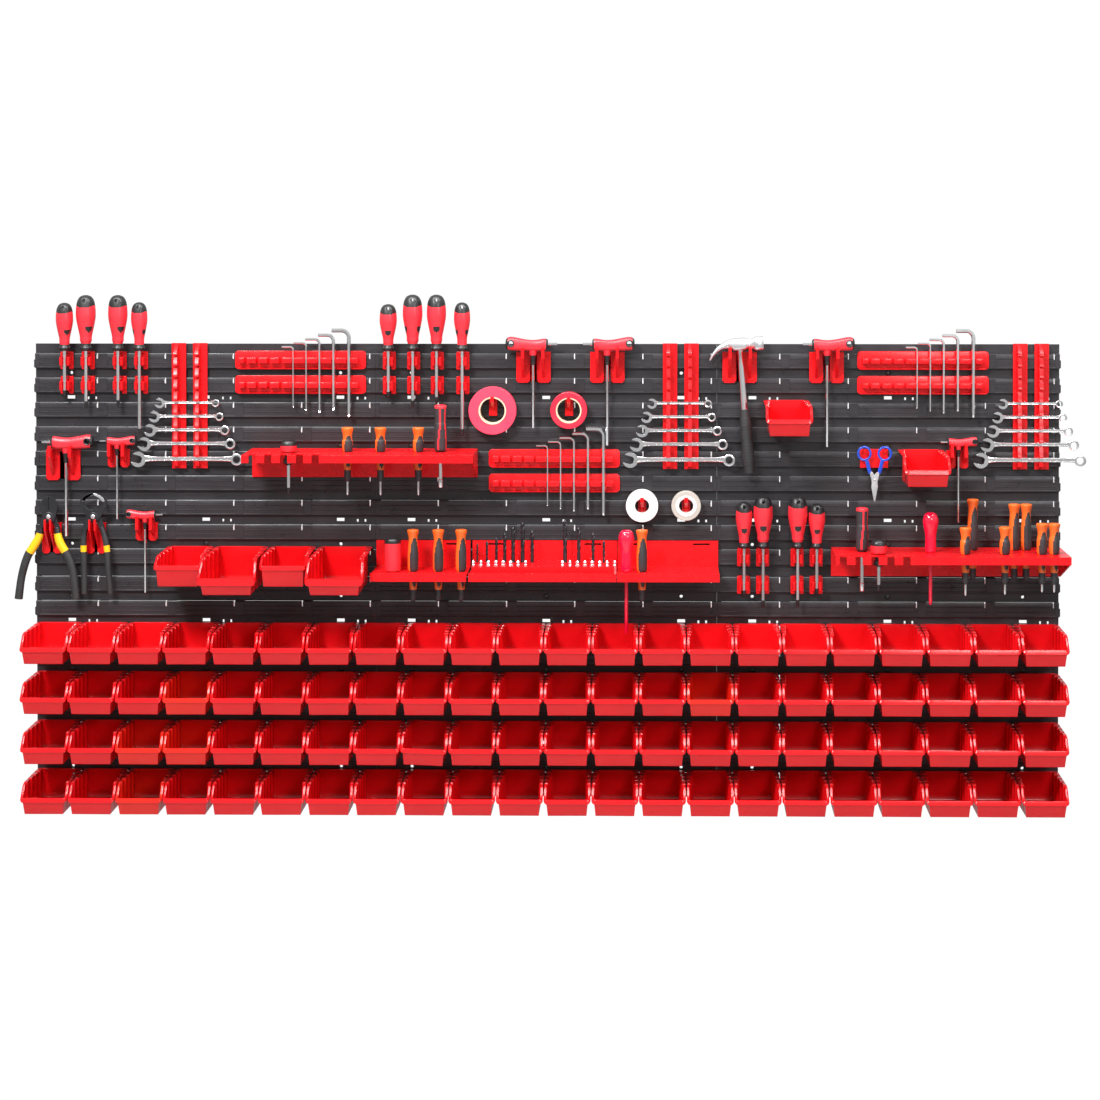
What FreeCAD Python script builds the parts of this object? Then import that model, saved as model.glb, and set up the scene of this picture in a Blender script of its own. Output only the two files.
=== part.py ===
"""Tool wall: six louvred plastic panels screwed to a wall, with red holders, open-fronted bins and hand tools.

Millimetres. X runs to the right along the wall, -Y out of the wall towards the user, +Z up. The wall is the
plane Y = 0, and the origin is the centre of the rectangle of the four outermost fixing holes. Most pieces are
drawn on the ledge they hang from: "out" is the distance from the wall, and heights are measured from the
ledge's top edge.
"""
import FreeCAD, Part
import Sketcher
import math
import os

from FreeCAD import Placement, Rotation, Vector

# ---------------------------------------------------------------- driving dimensions
SIZES = {
    "panel_width": (576.0, "one panel, edge to edge"),
    "panel_gap": (0.3, "gap between neighbouring panels"),
    "panel_pitch": (377.7, "upper panel's top to lower panel's top"),
    "row_pitch": (41.4, "one louvre to the next"),
    "row_count": (9.0, "louvres on one panel"),
    "cell_width": (115.2, "one recess and the plain pad beside it"),
    "cell_pad": (14.0, "plain pad between two recesses"),
    "ledge_drop": (16.0, "top of a row to its hooking ledge"),
    "sheet_back": (5.0, "wall to the back of the panel sheet"),
    "sheet_front": (7.5, "wall to the front of the flat band"),
    "rail_back": (10.0, "wall to the inner face of the ledge"),
    "rail_front": (12.6, "wall to the recessed front face"),
    "pad_front": (13.5, "wall to the plain pads"),
    "tongue_back": (8.0, "wall to the back of a hook's tongue"),
    "tongue_front": (9.6, "wall to the front of a hook's tongue"),
    "tongue_depth": (8.0, "how far a tongue reaches below the ledge"),
    "holder_back": (13.8, "wall to the back of a holder's plate"),
    "holder_front": (16.8, "wall to the front of a holder's plate"),
    "fixing_drop": (8.0, "top of a row to its fixing holes"),
    "fixing_column": (60.0, "panel edge to its first column of fixing holes"),
    "fixing_spacing": (228.0, "one column of fixing holes to the next"),
    "fixing_radius": (2.75, "fixing hole"),
    "recess_radius": (5.2, "recess for a fixing screw's head"),
    "boss_radius": (8.0, "spacer around a fixing hole"),
    "screw_radius": (2.4, "fixing screw's shank"),
    "bin_pitch": (78.5, "one small bin to the next"),
    "bin_width": (77.0, "small bin, over its rim"),
    "bin_depth": (115.0, "small bin, front to back"),
    "bin_height": (55.0, "small bin at the back"),
    "bins_per_row": (22.0, "small bins in one row"),
    "clip_width": (22.0, "screwdriver clip"),
    "shaft_radius": (3.0, "screwdriver shaft"),
    "driver_out": (32.0, "wall to a screwdriver's axis"),
    "wrench_rail_width": (24.0, "upright wrench rail"),
    "wrench_out": (26.0, "wall to the middle of a wrench"),
    "wrench_thickness": (4.0, "wrench's thickness out of the wall"),
    "key_rail_width": (221.0, "hex key rail"),
    "key_out": (26.0, "wall to a hex key's axis"),
    "t_key_out": (28.5, "wall to a T-handle key's axis"),
    "shelf_depth": (125.0, "wall to the front of a tool shelf"),
    "bit_shelf_depth": (110.0, "wall to the front of the long shelf"),
    "shelf_thickness": (3.0, "shelf surface"),
    "shelf_lip": (13.0, "shelf's front lip"),
    "bit_radius": (3.5, "screwdriver bit"),
    "bit_pitch": (12.4, "one bit to the next"),
    "pliers_out": (33.0, "wall to the middle of a pair of pliers"),
    "scissors_out": (26.7, "wall to the middle of the scissors"),
}

doc = FreeCAD.newDocument("ToolWall")
sheet = doc.addObject("Spreadsheet::Sheet", "Sizes")
for line, (alias, (value, meaning)) in enumerate(SIZES.items(), start=1):
    sheet.set("A%d" % line, meaning)
    sheet.set("B%d" % line, str(value))
    sheet.setAlias("B%d" % line, alias)
doc.recompute()


def size(alias):
    return float(sheet.get(alias))


def linked(alias, extra=""):
    """Formula that follows one cell of the sheet."""
    return "Sizes.%s%s" % (alias, extra)


BOARD_LEFT = -1.5 * size("panel_width")
LAST_FIXING_ROW = 8
FIXING_ROWS = (1, 4, LAST_FIXING_ROW)
FIRST_HOLE_DROP = FIXING_ROWS[0] * size("row_pitch") + size("fixing_drop")
LAST_HOLE_DROP = size("panel_pitch") + LAST_FIXING_ROW * size("row_pitch") + size("fixing_drop")
BOARD_TOP = (FIRST_HOLE_DROP + LAST_HOLE_DROP) / 2


def on_board(across, below, out=0.0):
    """A place given as millimetres from the board's left edge, below its top edge and out of the wall."""
    return Vector(BOARD_LEFT + across, -out, BOARD_TOP - below)


def ledge(row):
    """How far a row's hooking ledge lies below the board's top edge; rows run on through the lower panel."""
    panel, inside = divmod(row, int(size("row_count")))
    return panel * size("panel_pitch") + inside * size("row_pitch") + size("ledge_drop")


def on_ledge(across, row, rise=0.0, out=0.0):
    return on_board(across, ledge(row) - rise, out)


# ---------------------------------------------------------------- drawing helpers
def outline(body, role, loops, lift=0.0):
    """Sketch of closed straight-sided loops on one of the body's origin planes.
    A corner's value is a number or a formula."""
    drawing = body.newObject("Sketcher::SketchObject", "Outline")
    base = next(plane for plane in body.Origin.OriginFeatures if plane.Role == role)
    drawing.AttachmentSupport = [(base, "")]
    drawing.MapMode = "FlatFace"
    drawing.AttachmentOffset = Placement(Vector(0, 0, lift), Rotation())
    first = 0
    for corners in loops:
        count = len(corners)
        starts = [corner_guess(corner, place) for place, corner in enumerate(corners)]
        edges = [Part.LineSegment(starts[k], starts[(k + 1) % count]) for k in range(count)]
        drawing.addGeometry(edges, False)
        for k in range(count):
            joint = Sketcher.Constraint("Coincident", first + k, 2, first + (k + 1) % count, 1)
            drawing.addConstraint(joint)
        for k, corner in enumerate(corners):
            for kind, value in zip(("DistanceX", "DistanceY"), corner):
                bind(drawing, kind, first + k, value)
        first += count
    return drawing


def corner_guess(corner, place):
    """A rough starting point for a corner, before its formulas are worked out."""
    across, up = corner
    across = 1.7 * place if isinstance(across, str) else across
    up = float(place * place) if isinstance(up, str) else up
    return Vector(across, up, 0)


def bind(drawing, kind, edge, value):
    number = 1.0 if isinstance(value, str) else value
    index = drawing.addConstraint(Sketcher.Constraint(kind, -1, 1, edge, 1, number))
    if isinstance(value, str):
        drawing.setExpression("Constraints[%d]" % index, value)


def padded(name, role, loops, length, lift=0.0, midplane=False):
    """A body made by padding loops on one origin plane; length is a number or a formula."""
    body = doc.addObject("PartDesign::Body", name)
    body.AllowCompound = True
    pad = body.newObject("PartDesign::Pad", "Pad")
    pad.Profile = outline(body, role, loops, lift)
    pad.Midplane = midplane
    set_size(pad, "Length", length)
    body.Tip = pad
    return body


def set_size(item, name, value):
    if isinstance(value, str):
        item.setExpression(name, value)
    else:
        setattr(item, name, value)


def seen_from_side(corners):
    """Turns (out, up) corners into the YZ plane's axes."""
    return [("-(%s)" % out if isinstance(out, str) else -out, up) for out, up in corners]


def side_prism(name, corners, width, shift=0.0):
    """Profile of (out, up) corners, extruded along X and centred on shift."""
    return padded(name, "YZ_Plane", [seen_from_side(corners)], width, shift, True)


def front_prism(name, loops, start, end):
    """Loops of (across, up) corners, extruded out of the wall from start to end."""
    return padded(name, "XZ_Plane", loops, end - start, start)


def box_loop(left, right, low, high):
    return [(left, low), (right, low), (right, high), (left, high)]


def turned(name, profile):
    """A body turned about the Z axis from (radius, height) corners."""
    body = doc.addObject("PartDesign::Body", name)
    spin = body.newObject("PartDesign::Revolution", "Revolution")
    drawing = outline(body, "XZ_Plane", [profile])
    spin.Profile = drawing
    spin.ReferenceAxis = (drawing, ["V_Axis"])
    spin.Angle = 360.0
    body.Tip = spin
    return body


def rod(name, radius, start, end):
    """A round bar from one point to another."""
    bar = doc.addObject("Part::Cylinder", name)
    set_size(bar, "Radius", radius)
    bar.Height = (end - start).Length
    bar.Placement = Placement(start, Rotation(Vector(0, 0, 1), end - start))
    return bar


def block(name, corner, far_corner):
    bar = doc.addObject("Part::Box", name)
    bar.Length = far_corner.x - corner.x
    bar.Width = far_corner.y - corner.y
    bar.Height = far_corner.z - corner.z
    bar.Placement = Placement(corner, Rotation())
    return bar


def joined(name, items):
    whole = doc.addObject("Part::MultiFuse", name)
    whole.Shapes = items
    whole.Refine = True
    return whole


def cut(name, base, tools):
    if len(tools) > 1:
        tools = [joined(name + "Tools", tools)]
    rest = doc.addObject("Part::Cut", name)
    rest.Base = base
    rest.Tool = tools[0]
    return rest


def copy_at(item, place, turn=None):
    twin = doc.addObject("App::Link", item.Name + "Copy")
    twin.LinkedObject = item
    twin.Placement = Placement(place, turn or Rotation())
    return twin


NODES = []


def sub_part(label, pieces):
    """One named sub-part: separate solids that belong to one piece, or to one set of equal pieces."""
    group = doc.addObject("Part::Compound", label)
    group.Label = label
    group.Links = pieces
    NODES.append(group)
    return group


# ---------------------------------------------------------------- wall panels
CELLS = 5
ROW_FOOT = 2.5


def panel_row():
    """One louvre: flat band, upward-opening hooking channel, recessed front with two ridges and plain pads.
    A narrow notch runs down from the ledge at the right end of each recess."""
    pitch = size("row_pitch")
    drop = size("ledge_drop")
    profile = [
        (linked("sheet_back"), 0.0),
        (linked("sheet_front"), 0.0),
        (linked("sheet_front"), ROW_FOOT - pitch),
        (linked("rail_back"), ROW_FOOT - pitch),
        (linked("rail_back"), -drop),
        (linked("rail_front", " - 0.6"), -drop),
        (linked("rail_front"), -drop - 1.2),
        (linked("rail_front"), -24.0),
        (linked("rail_front", " + 0.6"), -24.5),
        (linked("rail_front"), -25.0),
        (linked("rail_front"), -32.0),
        (linked("rail_front", " + 0.6"), -32.5),
        (linked("rail_front"), -33.0),
        (linked("rail_front"), -38.6),
        (linked("pad_front"), -39.4),
        (linked("pad_front"), -40.6),
        (linked("rail_front"), "-Sizes.row_pitch"),
        (linked("sheet_back"), "-Sizes.row_pitch"),
    ]
    width = size("panel_width") - size("panel_gap")
    louvre = side_prism("RowProfile", profile, "Sizes.panel_width - Sizes.panel_gap", size("panel_width") / 2)
    cell = size("cell_width")
    half_pad = size("cell_pad") / 2
    edge = size("panel_gap") / 2
    pads = [box_loop(max(edge, k * cell - half_pad), min(edge + width, k * cell + half_pad), -40.0, -drop - 1.0)
            for k in range(CELLS + 1)]
    pad_strips = front_prism("RowPads", pads, size("rail_front") - 0.6, size("pad_front"))
    windows = [box_loop(k * cell + half_pad + 1, (k + 1) * cell - half_pad - 1, -36.0, -drop - 0.2)
               for k in range(CELLS)]
    openings = front_prism("RowWindows", windows, size("sheet_back") - 1, size("rail_back") - 0.3)
    ends = [(k + 1) * cell - half_pad for k in range(CELLS)]
    notches = front_prism("RowNotches", [box_loop(end - 3.4, end - 1.6, -25.5, -drop + 0.5) for end in ends],
                          size("rail_back") - 0.6, size("pad_front") + 1)
    return cut("PanelRow", joined("RowSolid", [louvre, pad_strips]), [openings, notches])


def panel_sheet():
    """A whole panel before its side lugs: nine louvres, side walls, wall bosses, and the tongue that the next
    panel covers."""
    row = panel_row()
    rows = [copy_at(row, Vector(0, 0, -k * size("row_pitch"))) for k in range(int(size("row_count")))]
    foot = size("row_count") * size("row_pitch")
    low = size("panel_pitch") - size("panel_gap")
    edge = size("panel_gap") / 2
    wide = size("panel_width") - edge
    tail = side_prism("PanelTail", [
        (2.2, 6.0 - foot), (5.4, 6.0 - foot), (5.4, 0.5 - foot), (7.5, 0.5 - foot), (7.5, -low), (4.4, -low),
        (4.4, -low - 12.0), (2.2, -low - 12.0)], size("panel_width") - 20, size("panel_width") / 2)
    tail_sheet = block("PanelTailSheet", Vector(edge, -7.5, -low), Vector(wide, -5.0, 0.5 - foot))
    walls = [block("PanelSide", Vector(left, -7.5, -low), Vector(left + 2.5, 0, -14.0))
             for left in (edge, wide - 2.5)]
    columns = [size("fixing_column") + k * size("fixing_spacing") for k in range(3)]
    heights = [-row_index * size("row_pitch") - size("fixing_drop") for row_index in FIXING_ROWS]
    bosses, holes = [], []
    for x in columns:
        for z in heights:
            bosses.append(rod("FixingBoss", "Sizes.boss_radius", Vector(x, 0, z), Vector(x, -5.6, z)))
            holes.append(rod("FixingHole", "Sizes.fixing_radius", Vector(x, 1, z), Vector(x, -9, z)))
            holes.append(rod("FixingRecess", "Sizes.recess_radius", Vector(x, -5.5, z), Vector(x, -9, z)))
    slots = []
    for x in columns:
        for row_index in (2, 7):
            z = -row_index * size("row_pitch") - size("fixing_drop")
            slots.append(block("KeySlot", Vector(x - 6.5, -9, z - 2.5), Vector(x + 6.5, -1, z + 3)))
            slots.extend(block("PinSlot", Vector(x + pin - 1.5, -9, z - 3.5), Vector(x + pin + 1.5, -1, z + 1))
                         for pin in (29, 42))
    solid = joined("PanelSolid", rows + [tail, tail_sheet] + walls + bosses)
    return cut("PanelSheet", solid, holes + slots)


def side_lugs(x):
    """Small lugs on a panel's outer edge, one at the foot of each row."""
    pitch = size("row_pitch")
    return [block("SideLug", Vector(x, -12.4, -k * pitch - 40.0), Vector(x + 3.0, -5.2, -k * pitch - 27.0))
            for k in range(int(size("row_count")))]


def panels():
    plain = panel_sheet()
    left_lugged = joined("PanelLeft", [plain] + side_lugs(-1.8))
    right_lugged = joined("PanelRight", [plain] + side_lugs(size("panel_width") - 1.2))
    for name, below in (("top", 0.0), ("bottom", size("panel_pitch"))):
        for k, (side, shape) in enumerate((("left", left_lugged), ("middle", plain), ("right", right_lugged))):
            sub_part("panel_%s_%s" % (name, side), [copy_at(shape, on_board(k * size("panel_width"), below))])


def wall_screws():
    """Low-headed screws with washers, sunk below the hooks' tongues, in the middle cross of each panel's holes.
    The four corner holes are left open."""
    shank = size("screw_radius")
    screw = turned("Screw", [(0, 0), (shank, 0), (shank, 5.6), (4.7, 5.6), (4.7, 6.2), (4.1, 6.2), (4.1, 6.9),
                             (2.6, 7.6), (0, 7.6)])
    middle = FIXING_ROWS[1]
    places = [(0, middle), (2, middle)] + [(1, row) for row in FIXING_ROWS]
    flat = Rotation(Vector(1, 0, 0), 90)
    screws = []
    for panel in range(6):
        across = (panel % 3) * size("panel_width") + size("fixing_column")
        below = (panel // 3) * size("panel_pitch") + size("fixing_drop")
        for column, row in places:
            spot = on_board(across + column * size("fixing_spacing"), below + row * size("row_pitch"))
            screws.append(copy_at(screw, spot, flat))
    sub_part("wall_screws", screws)


# ---------------------------------------------------------------- holders
HOOK_TOP = 3.0
HOOK_CLEARANCE = 0.4


def hanger(name, width, down, top=HOOK_TOP, shift=0.0):
    """Plate with a full-width tongue that hooks over a ledge.
    It reaches from top above the ledge to down below it."""
    corners = [
        (linked("tongue_back"), "-Sizes.tongue_depth"),
        (linked("tongue_front"), "-Sizes.tongue_depth"),
        (linked("tongue_front"), HOOK_CLEARANCE),
        (linked("holder_back"), HOOK_CLEARANCE),
        (linked("holder_back"), -down),
        (linked("holder_front"), -down),
        (linked("holder_front"), top),
    ]
    if top > HOOK_TOP:
        corners += [(linked("holder_back"), top), (linked("holder_back"), HOOK_TOP)]
    corners.append((linked("tongue_back"), HOOK_TOP))
    return side_prism(name, corners, width, shift)


def screwdriver_clips(across_places, rows):
    """Two spring jaws on a small hooked plate grip a screwdriver's shaft."""
    plate = hanger("ClipPlate", "Sizes.clip_width", 27.0)
    gap = size("shaft_radius") + 0.5
    jaw_loops = [box_loop(-gap - 5.5, -gap, -19, -5), box_loop(gap, gap + 5.5, -19, -5)]
    jaws = front_prism("ClipJaws", jaw_loops, size("holder_front") - 0.5, size("driver_out") + 5)
    clip = joined("ScrewdriverClip", [plate, jaws])
    return [copy_at(clip, on_ledge(across, row)) for upper in rows for across in across_places[upper]
            for row in (upper, upper + 1)]


WRENCH_DROPS = (20.0, 38.0, 57.0, 77.0, 98.0, 121.0, 144.0, 167.0, 193.0)
WRENCH_SLOTS = (3.6, 4.0, 4.4, 4.8, 5.4, 6.0, 6.6, 7.2, 8.2)
WRENCH_RAIL_TOP = 17.5
WRENCH_RAIL_DOWN = 194.0


def wrench_rail():
    """Upright hooked bar with a comb of ten teeth; the gaps between the teeth hold wrenches level."""
    plate = hanger("WrenchPlate", "Sizes.wrench_rail_width", WRENCH_RAIL_DOWN, WRENCH_RAIL_TOP)
    front = size("wrench_out") + 9.0
    floor = size("wrench_out") - size("wrench_thickness") / 2 - 0.6
    back = size("holder_front") - 0.5
    comb = [(back, WRENCH_RAIL_TOP)]
    for drop, gap in zip(WRENCH_DROPS, WRENCH_SLOTS):
        middle = size("ledge_drop") - drop
        above, below = middle + gap / 2, middle - gap / 2
        comb += [(front - 1.5, above + 5.5), (front, above + 2.0), (front, above), (floor, above),
                 (floor, below), (front - 4.0, below)]
    comb += [(front - 4.0, -WRENCH_RAIL_DOWN + 6), (back, -WRENCH_RAIL_DOWN)]
    teeth = side_prism("WrenchComb", comb, 6.0, -3.0)
    return joined("WrenchRail", [plate, teeth])


KEY_SIZES = (2.5, 3.0, 4.0, 5.0, 6.0)
KEY_PLACES = (-11.0, 11.0, 33.5, 57.0, 83.0)
KEY_TOPS = (13.0, 20.0, 27.0, 34.5, 43.0)
KEY_LENGTHS = (101.0, 113.0, 123.0, 126.0, 144.0)
KEY_ARMS = (19.0, 21.0, 24.0, 26.0, 29.0)
SPARE_KEY_PLACES = (-91.0, -71.5, -52.0, -32.0)


def corner_width(flats):
    """Width over the corners of a hexagon given across its flats."""
    return flats / math.cos(math.radians(30))


def hex_key_rail():
    """Level hooked bar with ten blocks; hex keys stand upright in the gaps between the blocks."""
    plate = hanger("KeyPlate", "Sizes.key_rail_width", 26.5, 4.5)
    gaps = [(place, 4.0) for place in SPARE_KEY_PLACES]
    gaps += [(place, corner_width(flats) + 0.8) for place, flats in zip(KEY_PLACES, KEY_SIZES)]
    edges = [-103.0]
    for place, gap in gaps:
        edges += [place - gap / 2, place + gap / 2]
    edges.append(99.0)
    blocks = [box_loop(edges[k], edges[k + 1], -15.5, -6.5) for k in range(0, len(edges), 2)]
    teeth = front_prism("KeyBlocks", blocks, size("holder_front") - 0.5, size("key_out") + 4.5)
    lip = block("KeyLip", Vector(-110.5, -size("holder_front") - 2.2, -26.5), Vector(110.5, -14, -24.0))
    return joined("HexKeyRail", [plate, teeth, lip])


def double_hook(name, width, down, fin_place, fin_width, saddle, reach):
    """Two plates side by side on one tongue, each with a fin whose raised tip keeps a handle on the saddle."""
    inner = 5.5 if width > 50 else 2.5
    bar = hanger(name + "Bar", width, 0.0, HOOK_TOP)
    chamfer = 4.0
    loops = []
    for side in (-1, 1):
        near, far = side * inner, side * width / 2
        loops.append([(near, HOOK_TOP), (far, HOOK_TOP), (far, chamfer - down), (far - side * chamfer, -down),
                      (near + side * chamfer, -down), (near, chamfer - down)])
    plates = front_prism(name + "Plates", loops, size("holder_back"), size("holder_front"))
    back = size("holder_front") - 0.5
    tip = back + reach + 0.5
    fin = [(back, 8.0 - down), (back + 4, 12.0 - down), (tip + 4.5, -6.0), (tip + 4.5, saddle + 7.0),
           (tip, saddle + 7.0), (tip, saddle), (back, saddle)]
    fins = [side_prism(name + "Fin", fin, fin_width, side * fin_place) for side in (-1, 1)]
    return joined(name, [bar, plates] + fins)


def pegged_hook():
    """Hooked plate with two plain pegs that pass through a pair of scissors' finger loops."""
    plate = hanger("PegPlate", 47.0, 26.0, 5.5)
    pegs = front_prism("Pegs", [box_loop(-18.5, -15.5, 1.5, 5.5), box_loop(15.5, 18.5, 1.5, 5.5)],
                       size("holder_front") - 0.5, size("scissors_out") + 9)
    return joined("PeggedHook", [plate, pegs])


def tape_hook(name, peg_top):
    """Small hooked plate with one peg and a raised tip; a roll of tape hangs on the peg."""
    plate = hanger(name + "Plate", 14.0, 22.0, max(HOOK_TOP, peg_top))
    back = size("holder_front") - 0.5
    arm = [(back, -14.0), (back + 22, peg_top - 7), (back + 26, peg_top - 4), (back + 26, peg_top + 4),
           (back + 23, peg_top + 4), (back + 22, peg_top), (back, peg_top)]
    return joined(name, [plate, side_prism(name + "Arm", arm, 6.0)])


T_HOOKS = ((48.0, 4), (843.0, 0), (967.5, 0), (1190.0, 0), (1336.0, 0))
SMALL_HOOKS = ((142.0, 4), (189.0, 7), (1556.0, 4))
PLIER_HOOKS = ((28.0, 7), (103.0, 7))
SCISSORS_PLACE = (1416.0, 4)
T_SADDLE = 4.6
SMALL_SADDLE = 10.5
PLIER_SADDLE = 5.0
TAPES = (
    # across, row, peg top, outer radius, hole radius, width
    (775.0, 2, 8.0, 40.0, 20.7, 19.0),
    (903.0, 2, 7.0, 30.7, 19.2, 19.0),
    (1026.0, 6, 5.0, 27.0, 12.0, 19.0),
    (1100.0, 6, 5.0, 24.7, 12.0, 16.0),
)
WRENCH_RAILS = (244.5, 1073.0, 1661.0)
WRENCH_RAIL_SPACING = 36.0
KEY_RAILS = ((450.0, 0), (878.0, 4), (1498.0, 0))
DRIVERS = {
    # set: row of the upper clip, then for each driver: across, grip length, grip radius, shaft length
    "left": (0, ((55.0, 81.0, 14.3, 77.0), (91.0, 94.0, 16.4, 97.0), (145.0, 94.0, 16.0, 95.0),
                 (181.0, 82.0, 13.5, 143.0))),
    "middle": (0, ((600.0, 79.0, 14.3, 79.0), (641.0, 95.0, 16.4, 95.0), (681.0, 95.0, 16.0, 89.0),
                   (724.0, 82.0, 13.5, 143.0))),
    "right": (8, ((1197.0, 79.0, 13.6, 81.0), (1229.0, 89.0, 16.0, 99.0), (1287.0, 89.0, 16.0, 98.0),
                  (1319.0, 76.0, 13.6, 77.0))),
}
DRIVER_REST = 5.0


def holders():
    rails = wrench_rail()
    sub_part("wrench_rails", [copy_at(rails, on_ledge(across + step, 0)) for across in WRENCH_RAILS
                              for step in (0, WRENCH_RAIL_SPACING)])
    key_rail = hex_key_rail()
    sub_part("hex_key_rails", [copy_at(key_rail, on_ledge(across, row + step)) for across, row in KEY_RAILS
                               for step in (0, 1)])
    places = {}
    for row, drivers in DRIVERS.values():
        places.setdefault(row, []).extend(driver[0] for driver in drivers)
    sub_part("screwdriver_clips", screwdriver_clips(places, sorted(places)))
    large = double_hook("LargeHook", 58.0, 49.0, 17.0, 5.0, T_SADDLE, 23.0)
    sub_part("large_hooks", [copy_at(large, on_ledge(across, row)) for across, row in T_HOOKS])
    small = double_hook("SmallHook", 37.0, 27.0, 11.5, 5.0, SMALL_SADDLE, 20.5)
    pegs = pegged_hook()
    sub_part("small_hooks", [copy_at(small, on_ledge(across, row)) for across, row in SMALL_HOOKS]
             + [copy_at(pegs, on_ledge(*SCISSORS_PLACE))])
    slim = double_hook("PlierHook", 33.0, 49.0, 4.5, 3.0, PLIER_SADDLE, 24.5)
    sub_part("plier_hooks", [copy_at(slim, on_ledge(across, row)) for across, row in PLIER_HOOKS])
    sub_part("tape_hooks", [copy_at(tape_hook("TapeHook%d" % k, tape[2]), on_ledge(tape[0], tape[1]))
                            for k, tape in enumerate(TAPES)])


# ---------------------------------------------------------------- shelves
SHELF_TOP = 5.6
SHELF_DOWN = 43.0
LONG_TOP = 16.0
LONG_FLOOR = -28.0
BIT_STEP = -17.0


def tool_shelf(name, width, holes, teeth):
    """Hooked shelf with a hanging front lip, round tool holes and, on the left, notches open to the front."""
    deep = size("shelf_depth")
    thick = size("shelf_thickness")
    corners = [
        (linked("tongue_back"), "-Sizes.tongue_depth"), (linked("tongue_front"), "-Sizes.tongue_depth"),
        (linked("tongue_front"), HOOK_CLEARANCE), (linked("holder_back"), HOOK_CLEARANCE),
        (linked("holder_back"), -SHELF_DOWN), (linked("holder_front"), -SHELF_DOWN),
        (linked("holder_front"), SHELF_TOP - thick), ("Sizes.shelf_depth - 2.5", SHELF_TOP - thick),
        ("Sizes.shelf_depth - 2.5", "%.1f - Sizes.shelf_lip" % SHELF_TOP),
        (linked("shelf_depth"), "%.1f - Sizes.shelf_lip" % SHELF_TOP),
        (linked("shelf_depth"), SHELF_TOP), (linked("holder_back"), SHELF_TOP),
        (linked("holder_back"), HOOK_TOP), (linked("tongue_back"), HOOK_TOP),
    ]
    body = side_prism(name + "Profile", corners, width)
    cheek_corners = [(16.0, -SHELF_DOWN), (20.0, -SHELF_DOWN), (deep - 1.0, SHELF_TOP - 12.0),
                     (deep - 1.0, SHELF_TOP - 1.0), (16.0, SHELF_TOP - 1.0)]
    cheek = side_prism(name + "Cheek", cheek_corners, 2.5, width / 2 - 1.25)
    tools = [rod(name + "Hole", radius, Vector(x, -out, -20), Vector(x, -out, 20)) for x, out, radius in holes]
    tools += [block(name + "Notch", Vector(x - half, -deep - 1, -20), Vector(x + half, -reach, 20))
              for x, half, reach in teeth]
    return cut(name, joined(name + "Body", [body, cheek]), tools)


def long_module(name, width, holes, raised):
    """One module of the long shelf: a tall hooked back, a lower surface and a front lip."""
    top = LONG_FLOOR
    thick = size("shelf_thickness")
    corners = [
        (linked("tongue_back"), "-Sizes.tongue_depth"), (linked("tongue_front"), "-Sizes.tongue_depth"),
        (linked("tongue_front"), HOOK_CLEARANCE), (linked("holder_back"), HOOK_CLEARANCE),
        (linked("holder_back"), top - thick), ("Sizes.bit_shelf_depth - 2.5", top - thick),
        ("Sizes.bit_shelf_depth - 2.5", top - 11.0), (linked("bit_shelf_depth"), top - 11.0),
        (linked("bit_shelf_depth"), top + 3.0), ("Sizes.bit_shelf_depth - 2.5", top + 3.0),
        ("Sizes.bit_shelf_depth - 2.5", top), (linked("holder_front"), top),
        (linked("holder_front"), LONG_TOP), (linked("holder_back"), LONG_TOP),
        (linked("holder_back"), HOOK_TOP), (linked("tongue_back"), HOOK_TOP),
    ]
    pieces = [side_prism(name + "Profile", corners, width)]
    if raised:
        step = [(16.0, top - 1), (90.0, top - 1), (90.0, BIT_STEP), (16.0, BIT_STEP)]
        pieces.append(side_prism(name + "Step", step, width - 8.0))
    tools = [rod(name + "Hole", radius, Vector(x, -out, top - 20), Vector(x, -out, top + 25))
             for x, out, radius in holes]
    tools += [block(name + "Slot", Vector(x - 14, -18, 8.5), Vector(x + 14, -12, 11.5))
              for x in (-width / 3, width / 3)]
    return cut(name, joined(name + "Body", pieces) if raised else pieces[0], tools)


SHELF_LEFT = (558.5, 4, 381.0)
SHELF_RIGHT = (1536.5, 8, 385.0)
LONG_MODULES = {"left": (657.0, 159.0), "middle": (862.0, 244.0), "right": (1069.5, 169.0)}
LONG_ROW = 8
FRONT_OUT = 92.0
BACK_OUT = 46.0
SLIM_GRIP = 6.4
SHELF_TOOLS = {
    # shelf: (kind, across, out, top below the board's top edge, tip below the board's top edge)
    "left": (("stubby", 440.0, 84.0, 154.0, 246.0), ("slim", 536.0, 70.0, 135.0, 248.0),
             ("slim", 591.0, 70.0, 135.0, 248.0), ("slim", 654.0, 70.0, 135.0, 248.0),
             ("ratchet", 691.0, 70.0, 97.0, 235.0)),
    "right": (("ratchet", 1392.0, 62.0, 268.0, 408.0), ("stubby", 1417.0, 92.0, 317.0, 404.0),
              ("tester", 1505.0, 70.0, 275.0, 429.0), ("slim", 1560.0, FRONT_OUT, 297.0, 410.0),
              ("slim", 1578.0, BACK_OUT, 256.0, 371.0), ("slim", 1625.0, FRONT_OUT, 296.0, 408.0),
              ("slim", 1647.0, BACK_OUT, 264.0, 380.0), ("slim", 1667.0, BACK_OUT, 264.0, 380.0),
              ("slim", 1686.0, FRONT_OUT, 290.0, 404.0), ("slim", 1706.0, FRONT_OUT, 290.0, 404.0)),
    "long": (("stubby", 611.0, 70.0, 318.0, 400.0), ("slim", 645.0, 70.0, 305.0, 423.0),
             ("slim", 687.0, 70.0, 305.0, 423.0), ("slim", 725.0, 70.0, 305.0, 423.0),
             ("tester", 1000.0, 70.0, 305.0, 478.0), ("slim", 1026.0, 70.0, 305.0, 423.0)),
}
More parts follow.
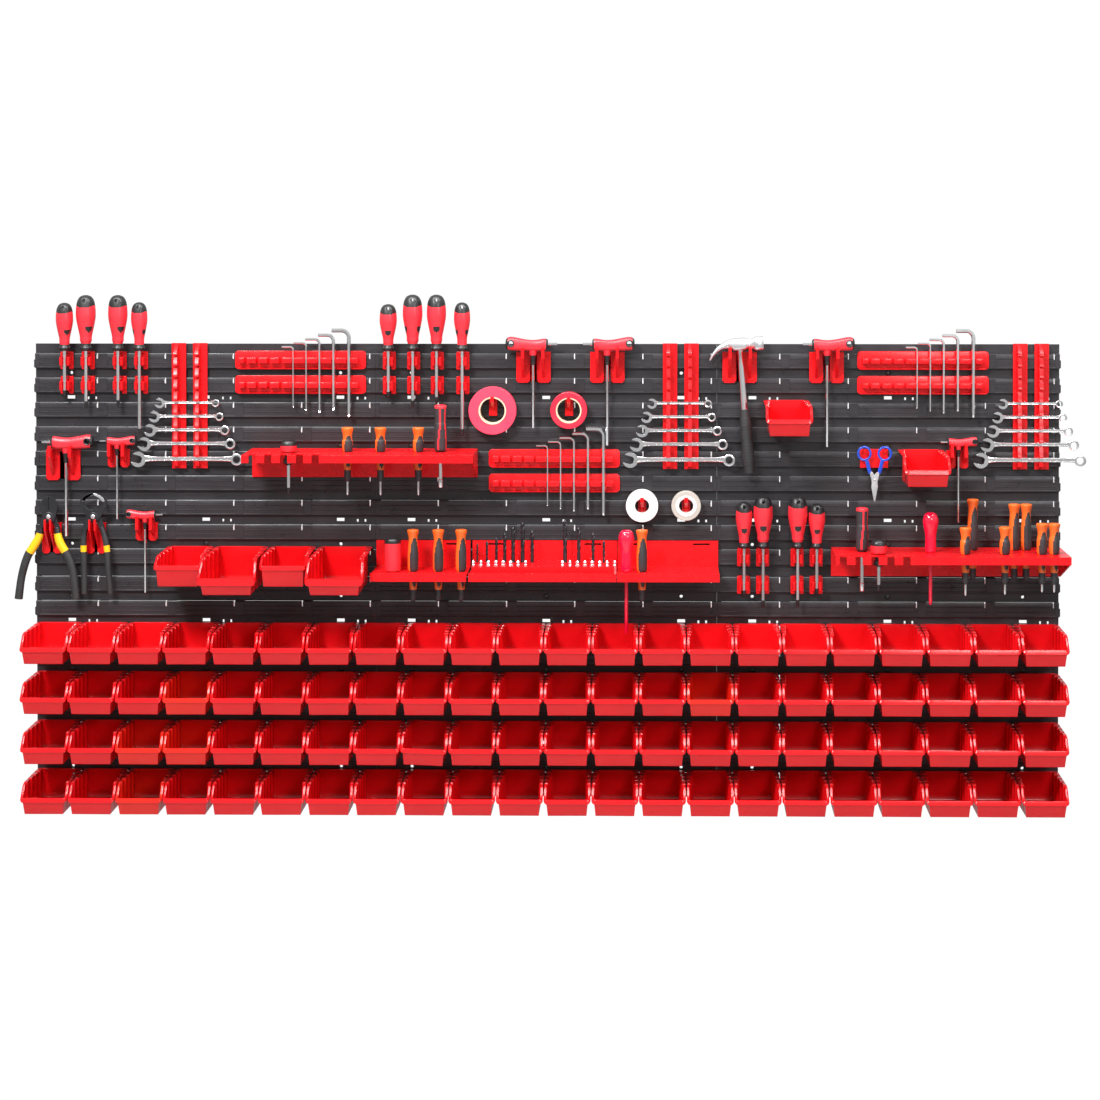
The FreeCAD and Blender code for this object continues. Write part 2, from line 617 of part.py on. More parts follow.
NECK_RADIUS = {"stubby": 6.0, "slim": SLIM_GRIP, "ratchet": 6.6, "tester": 7.0}


def shelf_hole(tool, centre):
    kind, across, out = tool[:3]
    return (across - centre, out, NECK_RADIUS[kind] + 0.6)


def bit_spots():
    """Across, out, radius and height of each bit and of each drill on the long shelf."""
    pitch = size("bit_pitch")
    bits = [(start + k * pitch, 76.0) for start in (746.0, 894.0) for k in range(8)]
    drills = [(750.0, 1.6, 332.0), (766.0, 2.0, 328.0), (782.0, 2.4, 322.0), (796.0, 2.8, 314.0),
              (810.0, 3.2, 304.0), (826.0, 3.6, 296.0), (842.0, 3.0, 310.0), (897.0, 3.6, 292.0),
              (920.0, 3.2, 304.0), (944.0, 2.8, 314.0), (962.0, 2.2, 327.0)]
    return bits, drills


DRILL_OUT = 42.0


def shelves():
    left_centre, left_row, left_width = SHELF_LEFT
    right_centre, right_row, right_width = SHELF_RIGHT
    notches = [(-left_width / 2 + 18 + 26 * k, 6.0, 96.0) for k in range(5)]
    holes = [shelf_hole(tool, left_centre) for tool in SHELF_TOOLS["left"]]
    left = tool_shelf("LeftShelf", left_width, holes, notches)
    sub_part("shelf_left", [copy_at(left, on_ledge(left_centre, left_row))])
    notches = [(-right_width / 2 + 12 + 26 * k, 6.0, 104.0) for k in range(5)]
    holes = [shelf_hole(tool, right_centre) for tool in SHELF_TOOLS["right"]]
    right = tool_shelf("RightShelf", right_width, holes, notches)
    sub_part("shelf_right", [copy_at(right, on_ledge(right_centre, right_row))])
    bits, drills = bit_spots()
    modules = []
    for name, (centre, width) in LONG_MODULES.items():
        holes = [shelf_hole(tool, centre) for tool in SHELF_TOOLS["long"] if abs(tool[1] - centre) < width / 2]
        if name == "middle":
            holes = [(across - centre, out, size("bit_radius") + 0.4) for across, out in bits]
            holes += [(across - centre, DRILL_OUT, radius + 0.4) for across, radius, _ in drills]
        module = long_module("Long" + name.capitalize(), width, holes, name == "middle")
        modules.append(copy_at(module, on_ledge(centre, LONG_ROW)))
    sub_part("long_shelf", modules)


# ---------------------------------------------------------------- bins
BIN_HOOK_WIDTH = 0.72
BIN_GAP = 0.2


PLEATS = 4
PLEAT_STEP = 1.9
FLANGE = 4.2


def pleated_plan(name, half, back, end, front, low, high):
    """Upright prism whose sides step outwards from the back to the sloping part of the rim."""
    stride = (end - back) / PLEATS
    right = [(half, -front), (half, -end)]
    for k in range(PLEATS):
        out = end - stride * k
        inset = PLEAT_STEP * (k + 1)
        right += [(half - inset, -out + 2.0), (half - inset, -out + stride)]
    return padded(name, "XY_Plane", [both_sides(right)], high - low, low)


def both_sides(right):
    """Closed loop from the corners of its right half."""
    return right + mirrored(right)


def overlap(name, items):
    whole = items[0]
    for number, item in enumerate(items[1:]):
        shared = doc.addObject("Part::MultiCommon", "%s%d" % (name, number))
        shared.Shapes = [whole, item]
        whole = shared
    return whole


def bin_shape(name, width, depth, height, front_drop, slant, wall):
    """Open-fronted bin: pleated sides, sloping front and side rims, a rolled front lip and a hook on the back.
    Heights are measured from the ledge."""
    top = 5.0
    back = size("holder_back") + BIN_GAP
    front = back + depth
    low = top - height
    rim = top - front_drop
    foot = 0.10 * depth
    rolled = 0.067 * depth
    end = front - 6.0 - slant
    half = width / 2
    under_lip = rim - rolled
    side = [(back, low), (front - foot, low), (front - 2.5, under_lip - 0.6), (front, under_lip), (front, rim),
            (front - 6.0, rim), (end, top), (back, top)]
    face = both_sides([(half - 7.0, low), (half - 5.0, under_lip), (half, rim - 0.5 * rolled), (half, top)])
    hollow_side = [(back + wall, low + wall), (front - foot - wall, low + wall),
                   (front - 2.5 - wall, under_lip - 0.6), (front - 2.5 - wall, top + 5), (back + wall, top + 5)]
    hollow_face = both_sides([(half - 7.0 - wall, low + wall), (half - 5.0 - wall, under_lip),
                              (half - FLANGE, rim - 0.35 * rolled), (half - FLANGE, top + 5)])
    outer = overlap(name + "Outer", [
        side_prism(name + "Side", side, width), front_prism(name + "Face", [face], back, front),
        pleated_plan(name + "Plan", half, back, end, front, low, top)])
    inner = overlap(name + "Inner", [
        side_prism(name + "HollowSide", hollow_side, width),
        front_prism(name + "HollowFace", [hollow_face], back, front),
        pleated_plan(name + "HollowPlan", half - wall, back, end, front, low, top + 5)])
    hook_corners = [
        (linked("tongue_back"), "-Sizes.tongue_depth"), (linked("tongue_front"), "-Sizes.tongue_depth"),
        (linked("tongue_front"), HOOK_CLEARANCE), (back + 0.5, HOOK_CLEARANCE),
        (back + 0.5, HOOK_TOP), (linked("tongue_back"), HOOK_TOP)]
    hook = side_prism(name + "Hook", hook_corners, width * BIN_HOOK_WIDTH)
    return joined(name, [cut(name + "Tub", outer, [inner]), hook])


SMALL_BIN_ROWS = (11, 13, 15, 17)
LARGE_BINS = (
    # name, across at the middle of the rim, width, depth, height, drop of the front rim
    ("large_bin_1", 263.5, 79.0, 122.0, 52.0, 17.0),
    ("large_bin_2", 350.0, 92.0, 156.0, 62.0, 27.0),
    ("large_bin_3", 437.0, 80.0, 122.0, 52.0, 17.0),
    ("large_bin_4", 525.5, 93.0, 156.0, 62.0, 27.0),
)
SINGLE_BINS = (("single_bin_upper", 1268.0, 2), ("single_bin_lower", 1494.0, 4))


def bins():
    width, depth, height = size("bin_width"), size("bin_depth"), size("bin_height")
    small = bin_shape("SmallBin", width, depth, height, 22.0, 20.0, 1.6)
    pitch = size("bin_pitch")
    count = int(size("bins_per_row"))
    first = (3 * size("panel_width") - (count - 1) * pitch) / 2
    for number, row in enumerate(SMALL_BIN_ROWS, start=1):
        copies = [copy_at(small, on_ledge(first + k * pitch, row)) for k in range(count)]
        sub_part("bins_row_%d" % number, copies)
    for name, across, width, depth, height, drop in LARGE_BINS:
        shape = bin_shape(name.title().replace("_", ""), width, depth, height, drop, 26.0, 1.8)
        sub_part(name, [copy_at(shape, on_ledge(across, 8))])
    for name, across, row in SINGLE_BINS:
        sub_part(name, [copy_at(small, on_ledge(across, row))])


# ---------------------------------------------------------------- tools
def screwdriver(name, grip, grip_radius, shaft):
    """Shaft, stepped collar, waisted grip and domed cap. Height zero is the collar's foot."""
    thin = size("shaft_radius")
    return turned(name, [
        (0, -shaft), (thin - 0.6, -shaft), (thin, -shaft + 3), (thin, 0), (6.5, 0), (8.5, 3), (8.5, 9),
        (9.5, 13), (grip_radius * 0.72, 22), (grip_radius * 0.80, grip * 0.42), (grip_radius, grip * 0.66),
        (grip_radius * 0.93, grip * 0.84), (grip_radius * 0.74, grip * 0.94), (grip_radius * 0.35, grip),
        (0, grip)])


def screwdriver_sets():
    for side, (row, drivers) in DRIVERS.items():
        pieces = []
        for k, (across, grip, radius, shaft) in enumerate(drivers):
            shape = screwdriver("Driver%s%d" % (side.capitalize(), k), grip, radius, shaft)
            pieces.append(copy_at(shape, on_ledge(across, row, DRIVER_REST, size("driver_out"))))
        sub_part("screwdrivers_" + side, pieces)


WRENCHES = (
    # left end and right end from the left rail's centre, open head radius, ring radius, shank height
    (-39.0, 70.0, 8.5, 6.3, 4.4),
    (-49.0, 77.0, 9.5, 7.0, 5.0),
    (-57.5, 87.0, 10.5, 7.8, 5.6),
    (-68.0, 97.0, 11.5, 8.8, 6.2),
    (-80.0, 109.0, 13.0, 10.0, 7.2),
)


def wrench(name, left, right, head, ring, shank):
    """Combination wrench lying level: open end on the left, ring end on the right, both tilted a little."""
    out = size("wrench_out")
    half = size("wrench_thickness") / 2
    near, far = -out - half, -out + half
    bar = block(name + "Bar", Vector(left + head, near, -shank / 2), Vector(right - ring, far, shank / 2))
    disc = rod(name + "Head", head, Vector(left + head, near - 0.4, -1), Vector(left + head, far + 0.4, -1))
    eye = rod(name + "Ring", ring, Vector(right - ring, near - 0.8, -1), Vector(right - ring, far + 0.8, -1))
    bore = rod(name + "Bore", ring * 0.62, Vector(right - ring, near - 5, -1),
               Vector(right - ring, far + 5, -1))
    jaw = block(name + "Jaw", Vector(-head * 1.5, -5, -head * 0.5), Vector(head * 0.25, 5, head * 0.5))
    jaw.Placement = Placement(Vector(left + head, -out, -1), Rotation(Vector(0, 1, 0), 15)) * jaw.Placement
    return cut(name, joined(name + "Solid", [bar, disc, eye]), [bore, jaw])


def wrench_sets():
    shapes = [wrench("Wrench%d" % k, *sizes) for k, sizes in enumerate(WRENCHES)]
    for side, across in zip(("left", "middle", "right"), WRENCH_RAILS):
        drops = WRENCH_DROPS[-len(shapes):]
        sub_part("wrenches_" + side, [copy_at(shape, on_board(across, drop))
                                      for shape, drop in zip(shapes, drops)])


def hex_key(name, flats, length, arm):
    """Hexagonal L-key with a ball end: the long arm hangs down and the short arm points left from the bend."""
    radius = corner_width(flats) / 2
    bend = 2.0 * flats
    turn = Vector(-bend, 0, -radius)
    long_start = Vector(0, 0, -length)
    long_end = Vector(0, 0, -radius - bend)
    short_start = turn
    middle = Vector(-bend + bend * math.sin(math.pi / 4), 0, -radius - bend + bend * math.cos(math.pi / 4))
    path = Part.Wire([
        Part.LineSegment(long_start, long_end).toShape(),
        Part.Arc(long_end, middle, short_start).toShape(),
        Part.LineSegment(short_start, Vector(-arm, 0, -radius)).toShape(),
    ])
    turns = [k * math.pi / 3 for k in range(6)]
    corners = [Vector(radius * math.cos(angle), radius * math.sin(angle), -length) for angle in turns]
    ring = Part.makePolygon(corners + [corners[0]])
    shape = path.makePipeShell([ring], True, False)
    ball = Part.makeSphere(radius * 0.98, Vector(0, 0, -length - radius * 0.4))
    key = doc.addObject("Part::Feature", name)
    key.Shape = shape.fuse(ball)
    return key


def hex_key_sets():
    shapes = [hex_key("HexKey%d" % k, *sizes) for k, sizes in enumerate(zip(KEY_SIZES, KEY_LENGTHS, KEY_ARMS))]
    for side, (across, row) in zip(("left", "middle", "right"), KEY_RAILS):
        pieces = [copy_at(shape, on_ledge(across + place, row, top, size("key_out")))
                  for shape, place, top in zip(shapes, KEY_PLACES, KEY_TOPS)]
        sub_part("hex_keys_" + side, pieces)


T_KEYS = (
    # name, across, row, mirrored, small, shaft length below the handle
    ("t_key_far_left", 56.0, 4, True, False, 147.0),
    ("t_key_left", 142.0, 4, True, True, 124.0),
    ("t_key_low", 189.0, 7, False, True, 124.0),
    ("t_key_middle", 843.0, 0, False, False, 129.0),
    ("t_key_centre", 967.5, 0, True, False, 158.0),
    ("t_key_right", 1336.0, 0, True, False, 160.0),
    ("t_key_far_right", 1556.0, 4, True, True, 127.0),
)


def t_key(name, small, mirrored, shaft):
    """T-handle hex key: a flattened handle with a hole, a steel stub at one end, a neck and a long shaft."""
    scale = 0.72 if small else 1.0
    flip = -1 if mirrored else 1
    tall = 16.0 if small else 24.0
    outline_points = [(-46, 0.62), (-42, 0.92), (-34, 1.0), (-16, 0.86), (0, 0.78), (18, 0.90), (25, 0.80),
                      (25, 0.22), (18, 0.05), (9, 0.0), (-9, 0.0), (-20, 0.08), (-38, 0.16), (-45, 0.34)]
    loop = [(flip * x * scale, z * tall) for x, z in outline_points]
    if mirrored:
        loop.reverse()
    half = 6.5 if small else 9.5
    out = size("t_key_out")
    handle = front_prism(name + "Grip", [loop], out - half, out + half)
    eye = rod(name + "Eye", 3.6 * scale, Vector(-37 * scale * flip, -out - 20, tall * 0.58),
              Vector(-37 * scale * flip, -out + 20, tall * 0.58))
    stub = rod(name + "Stub", 2.6 * scale, Vector(24 * scale * flip, -out, tall * 0.5),
               Vector(41 * scale * flip, -out, tall * 0.5))
    neck = rod(name + "Neck", 5.4 * scale, Vector(0, -out, -20 * scale), Vector(0, -out, 4))
    shank = rod(name + "Shaft", 2.6 * scale, Vector(0, -out, -shaft), Vector(0, -out, 2))
    return cut(name, joined(name + "Solid", [handle, stub, neck, shank]), [eye])


def t_keys():
    for name, across, row, mirrored, small, shaft in T_KEYS:
        shape = t_key(name.title().replace("_", ""), small, mirrored, shaft)
        rest = (SMALL_SADDLE if small else T_SADDLE) + 0.4
        sub_part(name, [copy_at(shape, on_ledge(across, row, rest))])


def tape_rolls():
    """Rolls of tape, each hanging on its peg by the top of its hole and free to turn."""
    for number, (across, row, peg_top, outer, hole, wide) in enumerate(TAPES, start=1):
        near = size("holder_front") + 0.8
        roll = rod("Roll%d" % number, outer, Vector(0, -near, 0), Vector(0, -near - wide, 0))
        core = rod("Core%d" % number, hole, Vector(0, -near + 1, 0), Vector(0, -near - wide - 1, 0))
        shape = cut("Tape%d" % number, roll, [core])
        sub_part("tape_roll_%d" % number, [copy_at(shape, on_ledge(across, row, peg_top + 0.9 - hole))])


HAMMER_LEAN = 4.5
HAMMER_HOOK = T_HOOKS[3]


def hammer():
    """Claw hammer: the head rests on the hook's two fins, and the handle, driven into its eye, hangs between
    them."""
    out = size("t_key_out")
    head_loop = [(10, 0.5), (10, 4), (17, 5), (17, 1), (24, -1), (40, -1), (40, 23), (24, 23), (17, 20),
                 (12, 22), (-12, 22), (-26, 19), (-38, 12), (-48, 0), (-53, -11), (-50, -12), (-43, -3),
                 (-32, 4), (-20, 7), (-10, 5), (-10, 0.5)]
    head = front_prism("HammerHead", [head_loop], -10.5, 10.5)
    grip = rod("HammerGrip", 10.8, Vector(0, 0, -205), Vector(0, 0, -98))
    shank = rod("HammerShank", 6.2, Vector(0, 0, -99), Vector(0, 0, 16))
    lean = Rotation(Vector(0, 1, 0), -HAMMER_LEAN)
    across, row = HAMMER_HOOK
    place = on_ledge(across, row, T_SADDLE + 0.4, out)
    sub_part("hammer_head", [copy_at(head, place, lean)])
    sub_part("hammer_handle", [copy_at(joined("HammerHandle", [grip, shank]), place, lean)])


def plier_half(name, jaw, arm, grip_radius, front_layer):
    """One half of a pair of pliers, drawn about its pivot: a jaw plate in its own layer, a short root and a
    long grip. arm holds the (across, up) points of its middle line."""
    out = size("pliers_out")
    near, far = (out + 0.2, out + 4.2) if front_layer else (out - 4.2, out - 0.2)
    points = [Vector(across, -out, up) for across, up in arm]
    pieces = [front_prism(name + "Plate", [jaw], near, far), rod(name + "Root", 4.2, points[0], points[1])]
    for start, end in zip(points[1:], points[2:]):
        pieces.append(rod(name + "Grip", grip_radius, start, end))
    for point in points[1:]:
        knuckle = doc.addObject("Part::Sphere", name + "Knuckle")
        knuckle.Radius = grip_radius + 0.05
        knuckle.Placement = Placement(point, Rotation())
        pieces.append(knuckle)
    if front_layer:
        hole = rod(name + "Hole", 4.0, Vector(0, -out + 10, 0), Vector(0, -out - 10, 0))
        return cut(name, joined(name + "Body", pieces), [hole])
    pin = rod(name + "Pin", 3.93, Vector(0, -far + 1, 0), Vector(0, -out - 5.0, 0))
    return joined(name, pieces + [pin])


CUTTER_PIVOT = 16.0
PINCER_PIVOT = 16.5


def hand_pliers():
    """Side cutters and pincers, each two halves on a pivot, straddling the fins of their hook."""
    cutter_jaw = [(-9, -8), (7, -9), (9, -17), (12, -24), (19, -22), (15, -12), (10, 0), (2, 8), (-1, 12),
                  (-1, 34), (-6, 33), (-13, 27), (-15, 14), (-12, 2)]
    right_arm = [(14, -19), (16, -38), (29, -62), (41, -98), (45, -139)]
    left_arm = [(-14, -19), (-20, -38), (-36, -62), (-47, -98), (-52, -139)]
    across, row = PLIER_HOOKS[0]
    pivot = on_ledge(across, row, CUTTER_PIVOT)
    sub_part("side_cutters_back_half",
             [copy_at(plier_half("CutterBack", cutter_jaw, right_arm, 7.0, False), pivot)])
    sub_part("side_cutters_front_half",
             [copy_at(plier_half("CutterFront", mirrored(cutter_jaw), left_arm, 7.0, True), pivot)])
    pincer_jaw = [(-8, -6), (7, -8), (9.5, -18), (12.5, -25), (19, -23), (16, -12), (10, 2), (0, 9),
                  (-8, 12), (-15, 18), (-17, 25), (-12, 31), (-1, 36), (-1, 40), (-14, 35), (-23, 27),
                  (-23, 18), (-17, 8)]
    right_arm = [(14, -19), (20, -38), (23, -60), (25, -95), (28, -131)]
    left_arm = [(-14, -19), (-17, -38), (-17, -60), (-16, -95), (-16, -131)]
    across, row = PLIER_HOOKS[1]
    pivot = on_ledge(across, row, PINCER_PIVOT)
    sub_part("pincers_back_half", [copy_at(plier_half("PincerBack", pincer_jaw, right_arm, 5.2, False), pivot)])
    sub_part("pincers_front_half",
             [copy_at(plier_half("PincerFront", mirrored(pincer_jaw), left_arm, 5.2, True), pivot)])


def mirrored(loop):
    return [(-across, up) for across, up in reversed(loop)]


def scissors():
    """Two halves on a pivot; each finger loop hangs on one peg."""
    out = size("scissors_out")
    across, row = SCISSORS_PLACE
    pivot = on_ledge(across, row, -45.0)
    for name, side, near, far in (("scissors_back_half", -1, out - 2.6, out - 0.15),
                                  ("scissors_front_half", 1, out + 0.15, out + 2.6)):
        loop_place = Vector(17.0 * side, 0, 44.0)
        ring = rod(name + "Ring", 12.5, loop_place + Vector(0, -near, 0), loop_place + Vector(0, -far, 0))
        hole = rod(name + "Hole", 8.6, loop_place + Vector(0, 5 - near, 0), loop_place + Vector(0, -5 - far, 0))
        blade_loop = [(9.5 * side, 34), (17 * side, 33), (5.5 * side, 0), (2.5 * side, -9), (-0.3 * side, -36),
                      (-1.0 * side, -37), (-5.5 * side, -12), (-4.5 * side, 2)]
        blade = front_prism(name + "Blade", [blade_loop], near, far)
        body = joined(name + "Body", [ring, blade])
        if side < 0:
            pin = rod(name + "Pin", 1.95, Vector(0, -near, 0), Vector(0, -out - 3.4, 0))
            shape = joined(name + "Pinned", [cut(name + "Shape", body, [hole]), pin])
        else:
            bore = rod(name + "Bore", 2.0, Vector(0, 5 - near, 0), Vector(0, -5 - far, 0))
            shape = cut(name + "Shape", body, [hole, bore])
        sub_part(name, [copy_at(shape, pivot)])


def shelf_tool(name, kind, length, surface_drop):
    """A tool that stands in a shelf hole: its shoulder is above the shelf, its neck passes through.
    Height zero is the top of the tool; surface_drop is how far the shelf's surface lies below it."""
    neck = NECK_RADIUS[kind]
    over = -surface_drop
    shoulder = (neck, over + 0.4)
    if kind == "slim":
        profile = [(0, 0), (7.6, 0), (9.6, -3), (9.2, -8), (7.4, -16), (9.0, over + 8), (8.6, over + 1.5),
                   shoulder, (neck, over - 42), (4.6, over - 48), (3.0, over - 50), (3.0, -length),
                   (0, -length)]
    elif kind == "stubby":
        profile = [(0, 0), (6, -0.5), (12.5, -4), (13.5, -9), (13.5, over + 3), (10.5, over + 0.5), shoulder,
                   (neck, over - 9), (3.4, over - 11), (3.4, -length), (0, -length)]
    elif kind == "ratchet":
        profile = [(0, 0), (7, -1), (10.2, -6), (9.6, -30), (10.4, -40), (10.0, over + 2), shoulder,
                   (neck, over - 6), (3.4, over - 8), (3.4, -length), (0, -length)]
    else:
        profile = [(0, 0), (7, -1.5), (12.5, -9), (13.2, -18), (11.2, -28), (9.6, over + 4), (9.2, over + 1),
                   shoulder, (neck, over - 5), (3.2, over - 7), (3.2, -length), (0, -length)]
    return turned(name, profile)


def shelf_tool_sets():
    surfaces = {"left": ledge(SHELF_LEFT[1]) - SHELF_TOP, "right": ledge(SHELF_RIGHT[1]) - SHELF_TOP,
                "long": ledge(LONG_ROW) - LONG_FLOOR}
    for shelf, tools in SHELF_TOOLS.items():
        pieces = []
        for k, (kind, across, out, top, tip) in enumerate(tools):
            name = "Tool%s%d" % (shelf.capitalize(), k)
            shape = shelf_tool(name, kind, tip - top, surfaces[shelf] - top)
            pieces.append(copy_at(shape, on_board(across, top, out)))
        sub_part("shelf_tools_" + shelf, pieces)


def bits_and_drills():
    """Driver bits and twist drills standing in the raised step of the long shelf."""
    bits, drills = bit_spots()
    bit = turned("Bit", [(0, -25), (3.4, -25), (3.5, -6), (2.2, -4), (2.6, -1), (1.2, 0), (0, 0)])
    sub_part("driver_bits", [copy_at(bit, on_ledge(across, LONG_ROW, BIT_STEP + 9.0, out))
                             for across, out in bits])
    pieces = []
    for k, (across, radius, top) in enumerate(drills):
        foot = ledge(LONG_ROW) - LONG_FLOOR + size("shelf_thickness")
        drill = turned("Drill%d" % k, [(0, 0), (radius, -radius), (radius, top - foot), (0, top - foot)])
        pieces.append(copy_at(drill, on_board(across, top, DRILL_OUT)))
    sub_part("twist_drills", pieces)


panels()
wall_screws()
holders()
shelves()
bins()
screwdriver_sets()
wrench_sets()
hex_key_sets()
t_keys()
tape_rolls()
hammer()
hand_pliers()
scissors()
shelf_tool_sets()
bits_and_drills()
doc.recompute()

for item in doc.Objects:
    if "Invalid" in item.State or "Error" in item.State:
        raise RuntimeError("%s did not recompute: %s" % (item.Label, item.State))
os.makedirs("parts", exist_ok=True)
for node in NODES:
    if node.Shape.isNull() or not node.Shape.isValid() or not node.Shape.Solids:
        raise RuntimeError("%s has no valid solid" % node.Label)
    node.Shape.exportStep("parts/%s.step" % node.Label)
print("%d sub-parts, %d solids" % (len(NODES), sum(len(node.Shape.Solids) for node in NODES)))
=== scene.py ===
"""Looks of the tool wall: louvred panels, red holders, shelves, open-fronted bins and hand tools.

Shapes are drawn in millimetres in the frame of the CAD model and turned into metres when a piece is made.
"Out" is the distance from the wall, and heights are measured from the ledge that a thing hangs on.
"""

import math
import random

import bmesh
import bpy
from mathutils import Matrix, Vector


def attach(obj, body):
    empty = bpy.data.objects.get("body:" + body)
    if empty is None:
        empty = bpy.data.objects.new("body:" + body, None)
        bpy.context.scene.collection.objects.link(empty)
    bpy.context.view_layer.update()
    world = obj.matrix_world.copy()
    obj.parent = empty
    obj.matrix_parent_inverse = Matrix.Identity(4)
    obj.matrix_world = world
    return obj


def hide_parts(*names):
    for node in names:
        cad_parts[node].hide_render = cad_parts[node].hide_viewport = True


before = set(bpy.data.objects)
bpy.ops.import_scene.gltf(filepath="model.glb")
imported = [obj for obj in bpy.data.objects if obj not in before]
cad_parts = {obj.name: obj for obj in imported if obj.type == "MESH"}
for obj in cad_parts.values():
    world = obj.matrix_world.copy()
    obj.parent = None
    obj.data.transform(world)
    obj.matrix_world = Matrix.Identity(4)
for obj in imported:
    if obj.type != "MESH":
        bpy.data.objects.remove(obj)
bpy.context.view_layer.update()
random.seed(11)
MM = 0.001

# ---- where things are on the board
# Ledges are counted down from the top, nine on a panel. "Across" starts at the board's left edge.
LEDGES_ON_PANEL = 9
PANEL_WIDTH = 576.0
PANEL_PITCH = 377.7
ROW_PITCH = 41.4
LEDGE_DROP = 16.0
BOARD_TOP = 383.15
HOLDER_BACK = 13.8


def on_board(across, below, out=0.0):
    return Vector((across - 1.5 * PANEL_WIDTH, -out, BOARD_TOP - below))


def ledge(row):
    panel, inside = divmod(row, LEDGES_ON_PANEL)
    return panel * PANEL_PITCH + inside * ROW_PITCH + LEDGE_DROP


def on_ledge(across, row, rise=0.0, out=0.0):
    return on_board(across, ledge(row) - rise, out)


# ---- materials
def noise_on(nodes, links, coords, scale, detail, stretch=(1, 1, 1)):
    mapping = nodes.new("ShaderNodeMapping")
    mapping.inputs["Scale"].default_value = stretch
    links.new(coords, mapping.inputs["Vector"])
    noise = nodes.new("ShaderNodeTexNoise")
    noise.inputs["Scale"].default_value = scale
    noise.inputs["Detail"].default_value = detail
    links.new(mapping.outputs["Vector"], noise.inputs["Vector"])
    return noise.outputs["Fac"]


def spread(nodes, links, value, low, high):
    """Maps noise, which stays near one half, onto the range from low to high."""
    scale = nodes.new("ShaderNodeMapRange")
    scale.inputs["From Min"].default_value = 0.3
    scale.inputs["From Max"].default_value = 0.7
    scale.inputs["To Min"].default_value = low
    scale.inputs["To Max"].default_value = high
    links.new(value, scale.inputs["Value"])
    return scale.outputs["Result"]


COAT_ROUGHNESS = 0.12
CLOUD_SCALE, GLOSS_SCALE, SCUFF_SCALE, RING_SCALE = 14.0, 45.0, 60.0, 260.0
SCUFF_STRETCH = (0.25, 1, 2.2)
RELIEF_DEPTH = 0.0003


def material(name, colour, rough, metallic=0.0, coat=0.0, uneven=0.08, grain=1800.0, bump=0.12,
             streaks=(1, 1, 1), scuffs=0.0, rings=None, shine=0.5):
    """Moulded plastic, rubber or metal: uneven colour, fine grain, faint scuffs and uneven gloss.

    streaks stretches the grain along an axis. rings is the middle of the rings that replace the grain.
    """
    made = bpy.data.materials.new(name)
    made.use_nodes = True
    nodes, links = made.node_tree.nodes, made.node_tree.links
    shader = nodes["Principled BSDF"]
    shader.inputs["Metallic"].default_value = metallic
    shader.inputs["Coat Weight"].default_value = coat
    shader.inputs["Specular IOR Level"].default_value = shine
    shader.inputs["Coat Roughness"].default_value = COAT_ROUGHNESS
    coords = nodes.new("ShaderNodeTexCoord").outputs["Object"]
    clouds = noise_on(nodes, links, coords, CLOUD_SCALE, 3.0)
    mix = nodes.new("ShaderNodeMix")
    mix.data_type = "RGBA"
    mix.inputs["A"].default_value = [c * (1 - uneven) for c in colour] + [1]
    mix.inputs["B"].default_value = [min(1.0, c * (1 + uneven)) for c in colour] + [1]
    links.new(spread(nodes, links, clouds, 0, 1), mix.inputs["Factor"])
    tone = mix.outputs["Result"]
    fine = noise_on(nodes, links, coords, grain, 2.0, streaks)
    gloss = noise_on(nodes, links, coords, GLOSS_SCALE, 4.0, streaks)
    if scuffs:
        marks = noise_on(nodes, links, coords, SCUFF_SCALE, 5.0, SCUFF_STRETCH)
        worn = nodes.new("ShaderNodeMix")
        worn.data_type = "RGBA"
        worn.inputs["B"].default_value = [min(1.0, c * 1.5 + 0.035) for c in colour] + [1]
        links.new(tone, worn.inputs["A"])
        links.new(spread(nodes, links, marks, -1.6 * scuffs, scuffs), worn.inputs["Factor"])
        tone = worn.outputs["Result"]
    height = fine
    if rings:
        offset = nodes.new("ShaderNodeMapping")
        offset.inputs["Location"].default_value = [-c * MM for c in rings]
        links.new(coords, offset.inputs["Vector"])
        wave = nodes.new("ShaderNodeTexWave")
        wave.wave_type = "RINGS"
        wave.rings_direction = "Y"
        wave.inputs["Scale"].default_value = RING_SCALE
        wave.inputs["Distortion"].default_value = 1.5
        links.new(offset.outputs["Vector"], wave.inputs["Vector"])
        height = wave.outputs["Fac"]
    links.new(tone, shader.inputs["Base Color"])
    links.new(spread(nodes, links, gloss, rough * 0.8, rough * 1.25), shader.inputs["Roughness"])
    relief = nodes.new("ShaderNodeBump")
    relief.inputs["Strength"].default_value = bump
    relief.inputs["Distance"].default_value = RELIEF_DEPTH
    links.new(height, relief.inputs["Height"])
    links.new(relief.outputs["Normal"], shader.inputs["Normal"])
    return made


